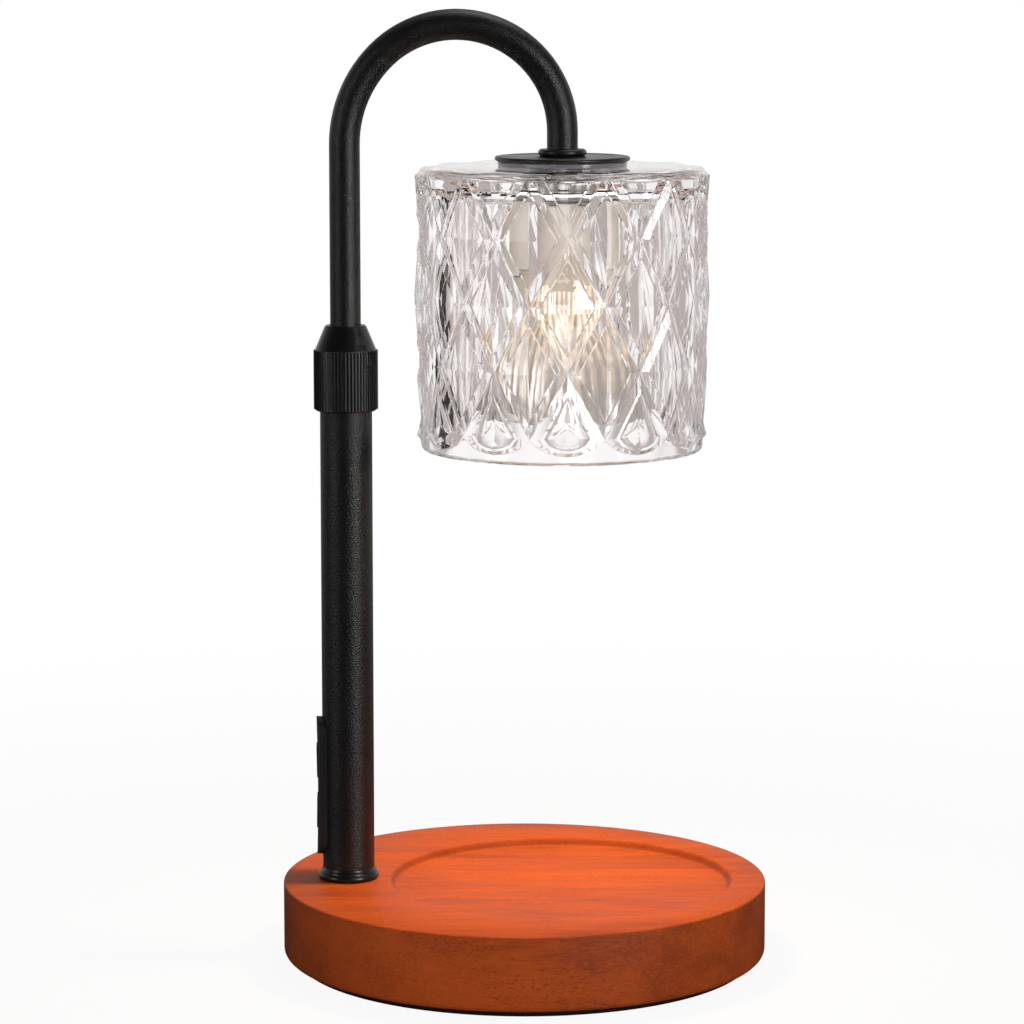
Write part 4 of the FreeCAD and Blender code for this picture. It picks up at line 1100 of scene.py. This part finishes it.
@dataclass
class Collar:
    """The knurled locking collar under its plain cone."""

    ribs: int = 60
    lip: float = 0.4 * MM
    bore: float = 8.24 * MM
    thread_bore: float = 7.08 * MM
    recess: float = 6.5 * MM
    neck_bore: float = 4.94 * MM
    root_depth: float = 0.3 * MM
    knurl_height: float = 18.7 * MM
    cone_top: float = 6.4 * MM
    thread: Pair = (4.04 * MM, 13.3 * MM)
    recess_top: float = 16.4 * MM
    rib_rise: float = 0.42 * MM
    rib_slope: float = 0.14 * MM
    rib_round: float = 0.12 * MM
    upright: float = 0.1
    sharp: float = 25.0
    place: Place = field(default_factory=lambda: Place.of("locking_collar"))

    @property
    def radius(self) -> float:
        """The knurl's radius between its ribs."""
        return self.place.radius - self.root_depth

    def build(self) -> None:
        """Turn the collar, raise its ribs and put it on the column."""
        foot, top, radius = self.place.foot, self.place.top, self.radius
        shoulder = foot + self.knurl_height
        thread_foot, thread_top = foot + self.thread[0], foot + self.thread[1]
        profile = [
            (self.bore, foot), (radius - self.lip, foot), (radius, foot + self.lip),
            (radius, shoulder), (radius - self.lip / 4, shoulder + self.lip / 4),
            (self.cone_top, top - self.lip), (self.cone_top - self.lip, top), (self.neck_bore, top),
            (self.neck_bore, foot + self.recess_top), (self.recess, foot + self.recess_top),
            (self.recess, thread_top), (self.thread_bore, thread_top),
            (self.thread_bore, thread_foot), (self.bore, thread_foot)]
        form = turned("knurled_collar", self.place.axis, profile, 2 * self.ribs)
        form.pick(Pick.FACES, self._is_rib)
        bpy.ops.mesh.inset(thickness=self.rib_slope, depth=-self.rib_rise, use_individual=True)
        form.pick(Pick.EDGES, self._runs_along_knurl)
        bpy.ops.mesh.bevel(offset=self.rib_round, segments=2, affect="EDGES")
        collar = form.close()
        smooth(collar, self.sharp)
        fit(collar, "collar", SATIN, "locking_collar")

    def _runs_along_knurl(self, edge: Any) -> bool:
        """Whether an edge runs up the outside of the knurl.

        Args:
            edge: The edge.

        Returns:
            True for the long sides of the ribs.
        """
        ends = [point.co - self.place.axis for point in edge.verts]
        return (abs(ends[0].z - ends[1].z) > self.knurl_height / 2
                and all(math.hypot(end.x, end.y) > self.radius - SMALL for end in ends))

    def _is_rib(self, face: Any) -> bool:
        """Whether a face of the outside is to be raised: every second one is.

        Args:
            face: The face.

        Returns:
            True for a rib, False for the gap beside it.
        """
        away = middle_of(face) - self.place.axis
        height = max(point.co.z for point in face.verts) - min(point.co.z for point in face.verts)
        number = math.floor(math.atan2(away.y, away.x) / math.pi * self.ribs)
        return (height > self.knurl_height / 2 and math.hypot(away.x, away.y) > self.bore + self.lip
                and abs(face.normal.z) < self.upright and number % 2 == 0)


# ---------------------------------------------------------------- the slack lead in the column


def copied(node: Solid, name: str) -> Form:
    """Put a welded copy of a frame node's mesh on the bench, under a name of its own.

    Args:
        node: The node.
        name: The copy's name.

    Returns:
        The copy, open on the bench.
    """
    clear_bench()
    solid = bpy.data.objects.new(name, node.data.copy())
    bpy.context.collection.objects.link(solid)
    make_active(solid)
    form = Form(name)
    bpy.ops.mesh.remove_doubles(threshold=SMALL)
    return form


def fold_slack_lead(nodes: dict[str, Solid]) -> None:
    """Put a smoothed copy of the loose lead in the column in place of its node, dressed in rubber.

    Args:
        nodes: The frame's nodes by name.
    """
    place = Place.of("slack_lead")
    lead = copied(nodes["slack_lead"], "slack_lead_folding").close()
    smooth(lead)
    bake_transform(lead)
    dress(lead, RUBBER)
    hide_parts("slack_lead")


# ---------------------------------------------------------------- the arm's end over the glass


@dataclass
class ArmEnd:
    """The round flange on the arm, the cap under it and the clear gasket on the glass."""

    neck: float = 4.75 * MM
    bore: float = 3.8 * MM
    rim: float = 0.68 * MM
    dish: float = 0.25 * MM
    dish_edge: float = 1.3 * MM
    seam: float = 0.03 * MM
    rise: float = 1.0 * MM
    bead_points: int = 11
    sides: int = 144
    sharp: float = 40.0
    flange: Place = field(default_factory=lambda: Place.of("arm_flange"))
    cap: Place = field(default_factory=lambda: Place.of("shade_cap"))
    gasket: Place = field(default_factory=lambda: Place.of("shade_gasket"))

    def make_flange(self) -> None:
        """Turn the flange, with a full round edge."""
        half = (self.flange.top - self.flange.foot) / 2
        centre = (self.flange.radius - half, self.flange.foot + half)
        profile = [(self.neck, self.flange.foot), *arc(centre, half, -90, 90, self.bead_points),
                   (self.neck, self.flange.top)]
        ring = turned("arm_flange_bead", self.flange.axis, profile).close()
        smooth(ring)
        fit(ring, "arm", CAP_SATIN, "arm_flange")

    def make_cap(self) -> None:
        """Turn the cap, with a rolled rim that stands a little above its top."""
        foot, top, edge = self.cap.foot, self.cap.top, self.cap.radius - self.rim
        profile = [(self.bore, foot)] + arc((edge, foot + self.rim), self.rim, -90, 0)
        profile += arc((edge, top - self.rim), self.rim, 0, 90)
        flat = self.flange.radius + self.rim
        profile += [(edge - self.dish_edge, top - self.dish), (flat + self.rise, top - self.dish),
                    (flat, top), (self.bore, top)]
        disc = turned("shade_cap_disc", self.cap.axis, profile, self.sides).close()
        smooth(disc, self.sharp)
        fit(disc, "arm", CAP_SATIN, "shade_cap")

    def make_gasket(self) -> None:
        """Turn the clear gasket, with eased edges."""
        foot, top = self.gasket.foot + self.seam, self.gasket.top - self.seam
        radius, ease = self.gasket.radius, self.dish
        profile = [(self.bore, foot), (radius - ease, foot), (radius, foot + ease), (radius, top - ease),
                   (radius - ease, top), (self.bore, top)]
        ring = turned("clear_gasket", self.gasket.axis, profile, self.sides).close()
        smooth(ring)
        fit(ring, "arm", SILICONE, "shade_gasket")

    def build(self) -> None:
        """Make the three rings."""
        self.make_flange()
        self.make_cap()
        self.make_gasket()


# ---------------------------------------------------------------- the glass shade


@dataclass
class GlassShade:
    """The pressed glass: twelve lobes of raised diamonds between V grooves, petals and a plain rim."""

    lobes: int = 12
    rows: int = 4
    crest_radius: float = 45.2 * MM
    groove_radius: float = 43.3 * MM
    band_height: float = 7.6 * MM
    lattice_turn: float = math.radians(1.4)
    frame_width: float = 2.4 * MM
    frame_rise: float = 1.2 * MM
    sill: float = 0.35 * MM
    crown_radius: float = 42.9 * MM
    shoulder_drop: float = 2.4 * MM
    valley_drop: float = 2.0 * MM
    top_bands: Pair = (4.0 * MM, 13.0 * MM)
    top_wave: float = 0.8 * MM
    wave_bands: Pair = (0.5, 1.5)
    top_round: float = 1.1 * MM
    lid_slope: float = 0.99
    top_slope: float = 0.96
    side_slope: float = 0.9
    melt_depth: float = 3.4 * MM
    melt_share: float = 0.3
    petal_tip: float = 4.7 * MM
    petal_frame: float = 1.1 * MM
    petal_band: float = 2.0 * MM
    dish_sink: float = 1.5 * MM
    petal_rise: float = 1.0 * MM
    petal_cuts: int = 3
    petal_rows: float = 1.5
    petal_corners: int = 3
    petal_slack: float = 3 * NEAR
    petal_spring: float = 0.2
    front_slope: float = 0.5
    thumbprint: tuple[Pair, ...] = (
        (0.8 * MM, 0.1 * MM), (0.8 * MM, -0.4 * MM), (1.6 * MM, -0.3 * MM))
    thumb_middle: float = -0.05 * MM
    rim_radius: float = 43.1 * MM
    rim_round: float = 1.4 * MM
    cavity_radius: float = 39.1 * MM
    cavity_round: float = 4.0 * MM
    crown_thick: float = 7.0 * MM
    crown_edge: float = 5.7 * MM
    boss_radius: float = 14.0 * MM
    hole_radius: float = 5.0 * MM
    edge_round: float = 0.4 * MM
    least_ridge: float = 6.0
    ridge_room: float = 1.0 * MM
    skin: float = 1.0 * MM
    rim_rounds: float = 1.5
    sharp: float = 12.0
    row_slack: float = 0.01
    row_edge: float = 0.1
    column_slack: float = 0.1
    same_column: float = 0.002
    between_lobes: float = 0.9
    place: Place = field(default_factory=lambda: Place.of("glass_shade"))
    axis: Vector = field(init=False)
    top: float = field(init=False)
    pitch: float = field(init=False)

    def __post_init__(self) -> None:
        """Work out the lattice from the height of the glass."""
        self.axis = Place.of("shade_cap").axis
        self.top = self.place.top
        self.pitch = (self.place.top - self.place.foot - self.band_height) / self.rows

    @property
    def step(self) -> float:
        """The angle between neighbouring columns of the lattice, in radians."""
        return math.pi / self.lobes

    def reach(self, point: Vector) -> float:
        """How far a point is from the shade's axis."""
        return math.hypot(point.x - self.axis.x, point.y - self.axis.y)

    def column(self, point: Vector) -> float:
        """A point's column in the lattice: 0 faces -Y, and lobes are 2 apart."""
        turn = math.atan2(point.y - self.axis.y, point.x - self.axis.x) + math.pi / 2 - self.lattice_turn
        return turn / self.step

    def row(self, point: Vector) -> float:
        """A point's row in the lattice, counted down from the top."""
        return (self.top - point.z) / self.pitch

    def crosses(self, point: Vector) -> bool:
        """Whether two grooves cross at a point of the plain lattice."""
        return (round(self.column(point)) + round(self.row(point))) % 2 == 1

    def raise_lattice(self) -> Form:
        """Split a plain drum into diamonds, with one row more than the glass has.

        Returns:
            The form on the bench.
        """
        clear_bench()
        bpy.ops.mesh.primitive_cylinder_add(
            vertices=2 * self.lobes, radius=self.groove_radius, depth=(self.rows + 1) * self.pitch,
            end_fill_type="NOTHING", rotation=(0, 0, self.lattice_turn),
            location=(self.axis.x, self.axis.y, self.top - (self.rows - 1) / 2 * self.pitch))
        form = Form("glass_shade_pressed")
        form.pick(Pick.EDGES, lambda edge: abs(edge.verts[0].co.z - edge.verts[1].co.z) > self.pitch)
        bpy.ops.mesh.subdivide(number_cuts=self.rows)
        form.pick(Pick.POINTS, lambda point: self.crosses(point.co))
        bpy.ops.mesh.vert_connect()
        form.pick(Pick.POINTS, lambda point: not point.is_boundary and not self.crosses(point.co))
        bpy.ops.mesh.dissolve_verts()
        return form

    def facet_diamonds(self, form: Form) -> None:
        """Raise each diamond's bevelled frame and the low pyramid inside it.

        Args:
            form: The lattice on the bench.
        """
        form.pick(Pick.FACES, lambda face: len(face.verts) == 4)
        bpy.ops.mesh.inset(thickness=self.frame_width, depth=self.frame_rise, use_individual=True)
        mesh = bmesh.from_edit_mesh(form.solid.data)
        inner = next(face for face in mesh.faces if face.select)
        middle = middle_of(inner)
        bpy.ops.mesh.poke(offset=self.crest_radius + self.sill - self.reach(middle))

    def cut(self, form: Form, angle: float, inner: Pair, outer: Pair) -> None:
        """Cut a flat facet along the top edge.

        Args:
            form: The glass on the bench.
            angle: The way that the facet faces, in columns of the lattice.
            inner: The facet's upper edge as its distance from the axis and its depth below the top.
            outer: A lower point of the facet, in the same way.
        """
        turn = angle * self.step - math.pi / 2 + self.lattice_turn
        out = Vector((math.cos(turn), math.sin(turn), 0))
        place = Vector((self.axis.x, self.axis.y, self.top - inner[1])) + out * inner[0]
        normal = out * (outer[1] - inner[1]) + Vector((0, 0, outer[0] - inner[0]))
        form.pick_all()
        bpy.ops.mesh.bisect(plane_co=place, plane_no=normal.normalized(), use_fill=True, clear_outer=True)

    def cut_crown(self, form: Form) -> None:
        """Cut the top level, chamfer each crest and lower each valley between them.

        Args:
            form: The faceted glass on the bench.
        """
        form.pick_all()
        bpy.ops.mesh.bisect(plane_co=(self.axis.x, self.axis.y, self.top), plane_no=(0, 0, 1),
                            use_fill=True, clear_outer=True)
        for lobe in range(self.lobes):
            self.cut(form, 2 * lobe, (self.crown_radius, 0), (self.crest_radius, self.shoulder_drop))
            chord = self.crown_radius * math.cos(self.step)
            self.cut(form, 2 * lobe + 1, (chord, 0), (self.groove_radius, self.valley_drop))
        self.wave_top(form)

    def wave_top(self, form: Form) -> None:
        """Sink the top edge between the crests, and round it off.

        Args:
            form: The glass on the bench.
        """
        for band in self.top_bands:
            form.pick(Pick.FACES, self._is_lid)
            bpy.ops.mesh.inset(thickness=band)
        form.pick(Pick.EDGES, lambda edge: all(point.co.z > self.top - SMALL for point in edge.verts)
                  and self.offset(middle_of(edge)) > self.between_lobes)
        bpy.ops.mesh.subdivide(number_cuts=1)
        for bands in self.wave_bands:
            self._sink_valleys(form, self.crown_radius - bands * self.top_bands[0])
        form.pick(Pick.EDGES, self._edges_top)
        bpy.ops.mesh.bevel(offset=self.top_round, segments=3, affect="EDGES", clamp_overlap=True)

    def _sink_valleys(self, form: Form, least: float) -> None:
        """Lower the top between the lobes by half its wave.

        Args:
            form: The glass on the bench.
            least: The distance from the axis beyond which it sinks.
        """
        form.pick(Pick.POINTS, lambda point: point.co.z > self.top - self.top_wave
                  and self.offset(point.co) > self.between_lobes and self.reach(point.co) > least)
        lift(-self.top_wave / 2)

    @property
    def top_edge(self) -> float:
        """The distance from the axis beyond which the crown is worked."""
        return self.crown_radius - self.top_bands[0] / 2

    def _edges_top(self, edge: Any) -> bool:
        """Whether an edge lies between the top and the facets round it.

        Args:
            edge: The edge.

        Returns:
            True for the edges that are rounded.
        """
        return (len(edge.link_faces) == 2
                and all(point.co.z > self.top - self.top_wave - SMALL for point in edge.verts)
                and all(self.reach(point.co) > self.top_edge for point in edge.verts)
                and max(face.normal.z for face in edge.link_faces) > self.top_slope
                and min(face.normal.z for face in edge.link_faces) < self.side_slope)

    def _is_molten(self, point: Any) -> bool:
        """Whether a point is in the part of the crown that runs smooth."""
        return point.co.z > self.top - self.melt_depth + SMALL and self.reach(point.co) > self.top_edge

    def melt_crown(self, glass: Solid) -> None:
        """Let the crown's facets run into one another.

        Args:
            glass: The glass, with its sharp edges marked.
        """
        make_active(glass)
        form = Form(glass.name)
        bpy.ops.mesh.bisect(plane_co=(0, 0, self.top - self.melt_depth), plane_no=(0, 0, 1))
        form.pick(Pick.POINTS, self._is_molten)
        bpy.ops.mesh.vertices_smooth(factor=self.melt_share)
        form.pick(Pick.EDGES, lambda edge: edge.seam or all(self._is_molten(point) for point in edge.verts))
        bpy.ops.mesh.mark_sharp(clear=True)
        bpy.ops.mesh.mark_seam(clear=True)
        form.close()

    def _is_lid(self, face: Any) -> bool:
        """Whether a face is the level top of the glass."""
        return face.normal.z > self.lid_slope and len(face.verts) >= self.lobes

    def shape_petals(self, form: Form) -> None:
        """Round the lowest half diamonds off into petals, each with a frame and a thumbprint.

        Args:
            form: The glass on the bench.
        """
        foot = self.top - self.rows * self.pitch
        form.pick(Pick.EDGES, self._splits_petal)
        bpy.ops.mesh.dissolve_edges(use_verts=False)
        form.pick(Pick.FACES, lambda face: face.normal.z < self.front_slope and self._holds_petal(face))
        bpy.ops.mesh.inset(thickness=self.petal_band, depth=self.petal_rise, use_individual=True)
        bpy.ops.mesh.faces_shade_smooth()
        form.pick(Pick.POINTS, lambda point: abs(point.co.z - foot - self.petal_band) < self.petal_slack)
        lift(-self.dish_sink)
        inner_foot = min(point.z for point in form.selected_points())
        levels = {foot: self.petal_tip, inner_foot: self.petal_tip - self.petal_frame + inner_foot - foot}
        form.pick(Pick.EDGES, lambda edge: any(self._lies_at(edge, level) for level in levels))
        bpy.ops.mesh.subdivide(number_cuts=self.petal_cuts)
        form.pick(Pick.FACES, lambda face: face.smooth)
        bpy.ops.mesh.dissolve_faces()
        for level, depth in levels.items():
            self._bow(form, level, depth)
        petals = form.pick(Pick.FACES, lambda face: face.smooth)
        log.info("%d petals", petals)
        for step, depth in self.thumbprint:
            bpy.ops.mesh.inset(thickness=step, depth=depth, use_individual=True)
        bpy.ops.mesh.poke(offset=self.thumb_middle)
        bpy.ops.mesh.select_more()
        bpy.ops.mesh.mark_seam()
        form.pick_all()
        bpy.ops.mesh.faces_shade_flat()

    def _holds_petal(self, face: Any) -> bool:
        """Whether a face is a half diamond at the foot of the lattice.

        Args:
            face: The face.

        Returns:
            True for a face that becomes a petal.
        """
        rows = [self.row(point.co) for point in face.verts]
        at_foot = sum(row > self.rows - self.row_slack for row in rows)
        return min(rows) > self.rows - self.petal_rows and at_foot == self.petal_corners

    def _lies_at(self, edge: Any, level: float) -> bool:
        """Whether an edge runs level at a height."""
        return all(abs(point.co.z - level) < NEAR for point in edge.verts)

    def _bow(self, form: Form, level: float, depth: float) -> None:
        """Bow level edges down into arcs, one under each petal.

        Args:
            form: The glass on the bench.
            level: The height of the edges.
            depth: How far each arc's middle sinks.
        """
        form.pick(Pick.EDGES, lambda edge: self._lies_at(edge, level))
        offsets = [self.offset(place) for place in form.selected_points()]
        span = max(offsets)
        spring = self.petal_spring
        for share in sorted({round(offset / span, 3) for offset in offsets}):
            form.pick(Pick.POINTS, self._at_share(level, span, share))
            lift(-depth * (math.sqrt(1 - (1 - spring ** 2) * share ** 2) - spring) / (1 - spring))

    def _at_share(self, level: float, span: float, share: float) -> Callable[[Any], bool]:
        """A test for the points at a height and at a share of the span from a petal's middle to its side."""
        return lambda point: (abs(point.co.z - level) < NEAR
                              and abs(self.offset(point.co) / span - share) < self.same_column)

    def offset(self, point: Vector) -> float:
        """How many columns a point is from the middle of its petal."""
        column = self.column(point)
        return abs(column - 2 * round(column / 2))

    def _splits_petal(self, edge: Any) -> bool:
        """Whether an edge runs down the middle of a petal.

        Args:
            edge: The edge.

        Returns:
            True for an edge that the petal doesn't need.
        """
        ends = [point.co for point in edge.verts]
        return (min(self.row(end) for end in ends) > self.rows - self.petal_rows
                and max(self.row(end) for end in ends) > self.rows - self.row_edge
                and abs(ends[0].z - ends[1].z) > self.pitch / 2
                and all(self.offset(end) < self.column_slack for end in ends))

    def draw_rim_and_cavity(self, form: Form) -> None:
        """Draw the open edge down to the plain rim, round it and up inside to the hole in the crown.

        Args:
            form: The glass on the bench.
        """
        foot, wall = self.place.foot, self.cavity_radius
        rim, curve = self.rim_round, self.cavity_round
        ceiling, edge = self.top - self.crown_thick, self.top - self.crown_edge
        form.pick_rim()
        bpy.ops.mesh.extrude_region_move()
        lay_flat(foot + rim, self.axis)
        bpy.ops.transform.tosphere(value=1.0)
        reach = max(self.reach(point) for point in form.selected_points())
        widen(self.rim_radius / reach, self.axis)
        rings = [(self.rim_radius, foot + rim)]
        rings += arc((self.rim_radius - rim, foot + rim), rim, 0, -90)[1:]
        rings += arc((wall + rim, foot + rim), rim, -90, -180)
        rings += arc((wall - curve, edge - curve), curve, 0, 90, 7)
        rings += [(self.boss_radius + edge - ceiling, edge), (self.boss_radius, ceiling),
                  (self.hole_radius, ceiling), (self.hole_radius, self.top)]
        for before, step in zip(rings, rings[1:]):
            draw_ring(step, before, self.axis)
        form.pick(Pick.FACES, self._is_lid)
        bpy.ops.mesh.delete(type="ONLY_FACE")
        form.pick_rim()
        bpy.ops.mesh.bridge_edge_loops()

    def round_edges(self, form: Form) -> None:
        """Round the edges of the facets a little, as the fire polish does.

        Args:
            form: The glass on the bench.
        """
        form.pick_all()
        bpy.ops.mesh.normals_make_consistent(inside=False)
        form.pick(Pick.FACES, lambda face: any(
            self.reach(point.co) > self.crest_radius for point in face.verts))
        bpy.ops.mesh.faces_shade_smooth()
        form.pick(Pick.EDGES, lambda edge: self._is_ridge(edge) and self._has_room(edge))
        bpy.ops.mesh.bevel(offset=self.edge_round, segments=2, affect="EDGES", clamp_overlap=True)
        facets = form.pick(Pick.FACES, lambda face: face.smooth)
        log.info("%d faces in the pyramids", facets)
        bpy.ops.mesh.inset(thickness=self.sill, depth=-self.sill)
        form.pick_all()
        bpy.ops.mesh.faces_shade_flat()

    def _is_ridge(self, edge: Any) -> bool:
        """Whether an edge lies between two facets of the outside, clear of the plain rim.

        Args:
            edge: The edge.

        Returns:
            True for an edge that the fire polish rounds.
        """
        least = self.cavity_radius + self.skin
        foot = self.place.foot + self.rim_rounds * self.rim_round
        return (len(edge.link_faces) == 2 and edge.calc_face_angle() > math.radians(self.least_ridge)
                and all(self.reach(point.co) > least and point.co.z > foot for point in edge.verts))

    def _has_room(self, edge: Any) -> bool:
        """Whether every edge that meets an edge is long enough for the rounding."""
        return all(other.calc_length() > self.ridge_room for point in edge.verts
                   for other in point.link_edges)

    def build(self) -> None:
        """Make the glass and hang it from the arm."""
        form = self.raise_lattice()
        self.facet_diamonds(form)
        self.cut_crown(form)
        self.shape_petals(form)
        self.draw_rim_and_cavity(form)
        self.round_edges(form)
        glass = form.close()
        smooth(glass, self.sharp)
        self.melt_crown(glass)
        keep_flats(glass)
        fit(glass, "arm", GLASS, "glass_shade")


# ---------------------------------------------------------------- the studio


class Ray(Enum):
    """What a ray comes from, as the light path tells it."""

    CAMERA = "Is Camera Ray"
    GLOSSY = "Is Glossy Ray"
    CLEAR = "Is Transmission Ray"


@dataclass(frozen=True)
class Lamp:
    """A soft rectangular lamp that faces the middle of the object."""

    name: str
    place: Triple
    size: Pair
    watts: float
    colour: Triple = (1.0, 1.0, 1.0)
    target: Triple = (0.0, 0.0, 0.13)
    matt: bool = True
    gloss: bool = True
    clear: bool = True

    def hang(self) -> None:
        """Hang the lamp."""
        clear_bench()
        bpy.ops.object.light_add(type="AREA", location=self.place)
        lamp = bpy.context.object
        lamp.name = self.name
        lamp.data.shape = "RECTANGLE"
        lamp.data.size, lamp.data.size_y = self.size
        lamp.data.energy = self.watts
        lamp.data.color = self.colour
        lamp.visible_diffuse = self.matt
        lamp.visible_glossy = self.gloss
        lamp.visible_transmission = self.clear
        aim = Vector(self.target) - Vector(self.place)
        lamp.rotation_euler = aim.to_track_quat("-Z", "Y").to_euler()


LAMPS = (
    Lamp("overhead", (0.25, 0.35, 1.5), (0.9, 0.9), 5.5),
    Lamp("front_fill", (0.3, -1.4, 0.3), (0.7, 0.6), 6.5, gloss=False),
    Lamp("right_strip", (0.95, -1.05, 0.35), (0.34, 0.9), 11.5, matt=False, clear=False),
    Lamp("left_wall", (-1.2, -0.75, 0.35), (0.5, 1.0), 3.6, matt=False),
    Lamp("bulb_downlight", (0.0114, 0.0, 0.1695), (0.03, 0.03), 0.27, (1.0, 0.78, 0.58),
         (0.0114, 0.0, 0.0), gloss=False, clear=False),
)


@dataclass
class Studio:
    """A white studio: the floor, the soft lamps, the surroundings and the camera."""

    distance: float = 1.176
    height: float = 0.3123
    side: float = -0.0039
    pitch: float = math.radians(8.33)
    lens: float = 135.73
    sensor: float = 36.0
    floor_size: float = 80.0
    floor_pale: float = 0.9
    floor_bounce: float = 0.35
    floor_in_gloss: Pair = (0.05, 0.3)
    floor_gloss_reach: Pair = (-0.1, 1.2)
    floor_share: Pair = (0.93, 1.0)
    shadow_reach: Pair = (0.15, 0.6)
    turns_in_glass: int = 12
    ambient: float = 0.12
    gloss: Pair = (0.035, 0.92)
    gloss_reach: Pair = (-0.2, 0.6)
    gloss_fade: Pair = (1.0, 0.3)
    gloss_fade_reach: Pair = (0.15, 0.5)
    cards: int = 9
    card_edge: Pair = (-0.5, 0.75)
    card_dark: float = 0.0
    card_grey: Triple = (0.48, 0.43, 0.42)
    near_reach: Pair = (0.3, 0.65)
    clear_reach: Pair = (0.1, 0.3)
    high_reach: Pair = (0.02, 0.2)
    ceiling_reach: Pair = (0.35, 0.6)

    def place_camera(self) -> None:
        """Stand the camera before the lamp, a little above it."""
        clear_bench()
        bpy.ops.object.camera_add(location=(self.side, -self.distance, self.height),
                                  rotation=(math.pi / 2 - self.pitch, 0, 0))
        camera = bpy.context.object
        camera.name = "camera"
        camera.data.sensor_width = self.sensor
        camera.data.lens = self.lens
        camera.data.clip_end = 2 * self.floor_size
        bpy.context.scene.camera = camera

    def _glow(self, recipe: Recipe, kind: str, strength: Any) -> Socket:
        """A shader of some kind that gives plain white light."""
        return recipe.node(kind, {"Color": WHITE, "Strength": strength}).outputs[0]

    def _matt(self, recipe: Recipe, level: float) -> Socket:
        """A plain matt shader of one grey."""
        return recipe.node("ShaderNodeBsdfDiffuse", {"Color": (level, level, level, 1.0)}).outputs[0]

    def _blend(self, recipe: Recipe, share: Any, plain: Socket, special: Socket) -> Socket:
        """A mix of two shaders, with this share of the second."""
        return recipe.node("ShaderNodeMixShader", {0: share, 1: plain, 2: special}).outputs[0]

    def _sort(self, recipe: Recipe, ray: Ray, plain: Socket, special: Socket) -> Socket:
        """A shader that is special for one kind of ray and plain for the rest."""
        return self._blend(recipe, recipe.node("ShaderNodeLightPath").outputs[ray.value], plain, special)

    def _cards(self, recipe: Recipe, east: Any, north: Any) -> Socket:
        """How pale the cards are that stand round the object, white and grey in turn."""
        turn = recipe.math("MULTIPLY", recipe.math("ARCTAN2", east, north), float(self.cards))
        return recipe.span(recipe.math("COSINE", turn), self.card_edge, (self.card_dark, 1.0))

    def _light(self, recipe: Recipe, kind: str, pale: Any) -> Socket:
        """A shader that gives white light where it is pale and warm grey light elsewhere."""
        colour = recipe.mix(pale, self.card_grey, WHITE)
        return recipe.node(kind, {"Color": colour, "Strength": 1.0}).outputs[0]

    def lay_floor(self) -> None:
        """Lay the pale floor. The camera sees it white, with the soft shadow round the base."""
        clear_bench()
        bpy.ops.mesh.primitive_plane_add(size=self.floor_size)
        floor = bpy.context.object
        floor.name = "floor"
        material = bpy.data.materials.new("floor_white")
        material.use_nodes = True
        recipe = Recipe(material.node_tree)
        where = recipe.place()
        far = recipe.node("ShaderNodeVectorMath", {0: where}, operation="LENGTH").outputs["Value"]
        place = recipe.axes(where)
        pale = self._matt(recipe, self.floor_pale)
        seen = self._blend(recipe, recipe.span(far, self.shadow_reach, self.floor_share), pale,
                           self._glow(recipe, "ShaderNodeEmission", 1.0))
        dull = self._matt(recipe, self.floor_bounce)
        gloss = self._glow(recipe, "ShaderNodeEmission",
                           recipe.span(place["Y"], self.floor_gloss_reach, self.floor_in_gloss))
        cards = recipe.math("MULTIPLY", self._cards(recipe, place["X"], place["Y"]),
                            recipe.span(far, self.near_reach, (self.card_dark, 1.0)))
        clear = self._blend(recipe, recipe.span(far, self.clear_reach), pale,
                            self._light(recipe, "ShaderNodeEmission", cards))
        surface = self._sort(recipe, Ray.GLOSSY, dull, gloss)
        surface = self._sort(recipe, Ray.CLEAR, surface, clear)
        surface = self._sort(recipe, Ray.CAMERA, surface, seen)
        recipe.node("ShaderNodeOutputMaterial", {"Surface": surface})
        floor.data.materials.append(material)

    def surround(self) -> None:
        """Surround the object: white where it is looked at, in cards through glass, dim in gloss."""
        world = bpy.data.worlds.new("studio")
        world.use_nodes = True
        bpy.context.scene.world = world
        recipe = Recipe(world.node_tree)
        way = recipe.axes(recipe.node("ShaderNodeTexCoord").outputs["Generated"])
        above = recipe.span(way["Z"], self.high_reach, (1.0, self.card_dark))
        ceiling = recipe.span(way["Z"], self.ceiling_reach)
        cards = recipe.math("MULTIPLY", self._cards(recipe, way["X"], way["Y"]), above)
        cards = recipe.math("MAXIMUM", cards, ceiling)
        gloss = recipe.span(way["Y"], self.gloss_reach, self.gloss)
        gloss = recipe.math("MULTIPLY", gloss, recipe.span(way["Z"], self.gloss_fade_reach, self.gloss_fade))
        surface = self._glow(recipe, "ShaderNodeBackground", self.ambient)
        surface = self._sort(recipe, Ray.GLOSSY, surface, self._glow(recipe, "ShaderNodeBackground", gloss))
        surface = self._sort(recipe, Ray.CLEAR, surface, self._light(recipe, "ShaderNodeBackground", cards))
        surface = self._sort(recipe, Ray.CAMERA, surface, self._glow(recipe, "ShaderNodeBackground", 1.0))
        recipe.node("ShaderNodeOutputWorld", {"Surface": surface})

    def build(self) -> None:
        """Set the studio up."""
        bpy.context.scene.view_settings.view_transform = "Standard"
        bpy.context.scene.cycles.glossy_bounces = self.turns_in_glass
        self.lay_floor()
        self.surround()
        for lamp in LAMPS:
            lamp.hang()
        log.info("studio ready")


def main() -> None:
    """Load the frame, make the pieces and dress everything."""
    logging.basicConfig(level=logging.INFO, format="%(message)s")
    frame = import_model()
    studio = Studio()
    studio.place_camera()
    dress_frame(frame["nodes"])
    fold_slack_lead(frame["nodes"])
    for part in (WoodenBase(), FoamPad(), FootRing(), Collar(), ArmEnd(), GlassShade()):
        part.build()
    studio.build()


if __name__ == "__main__":
    main()
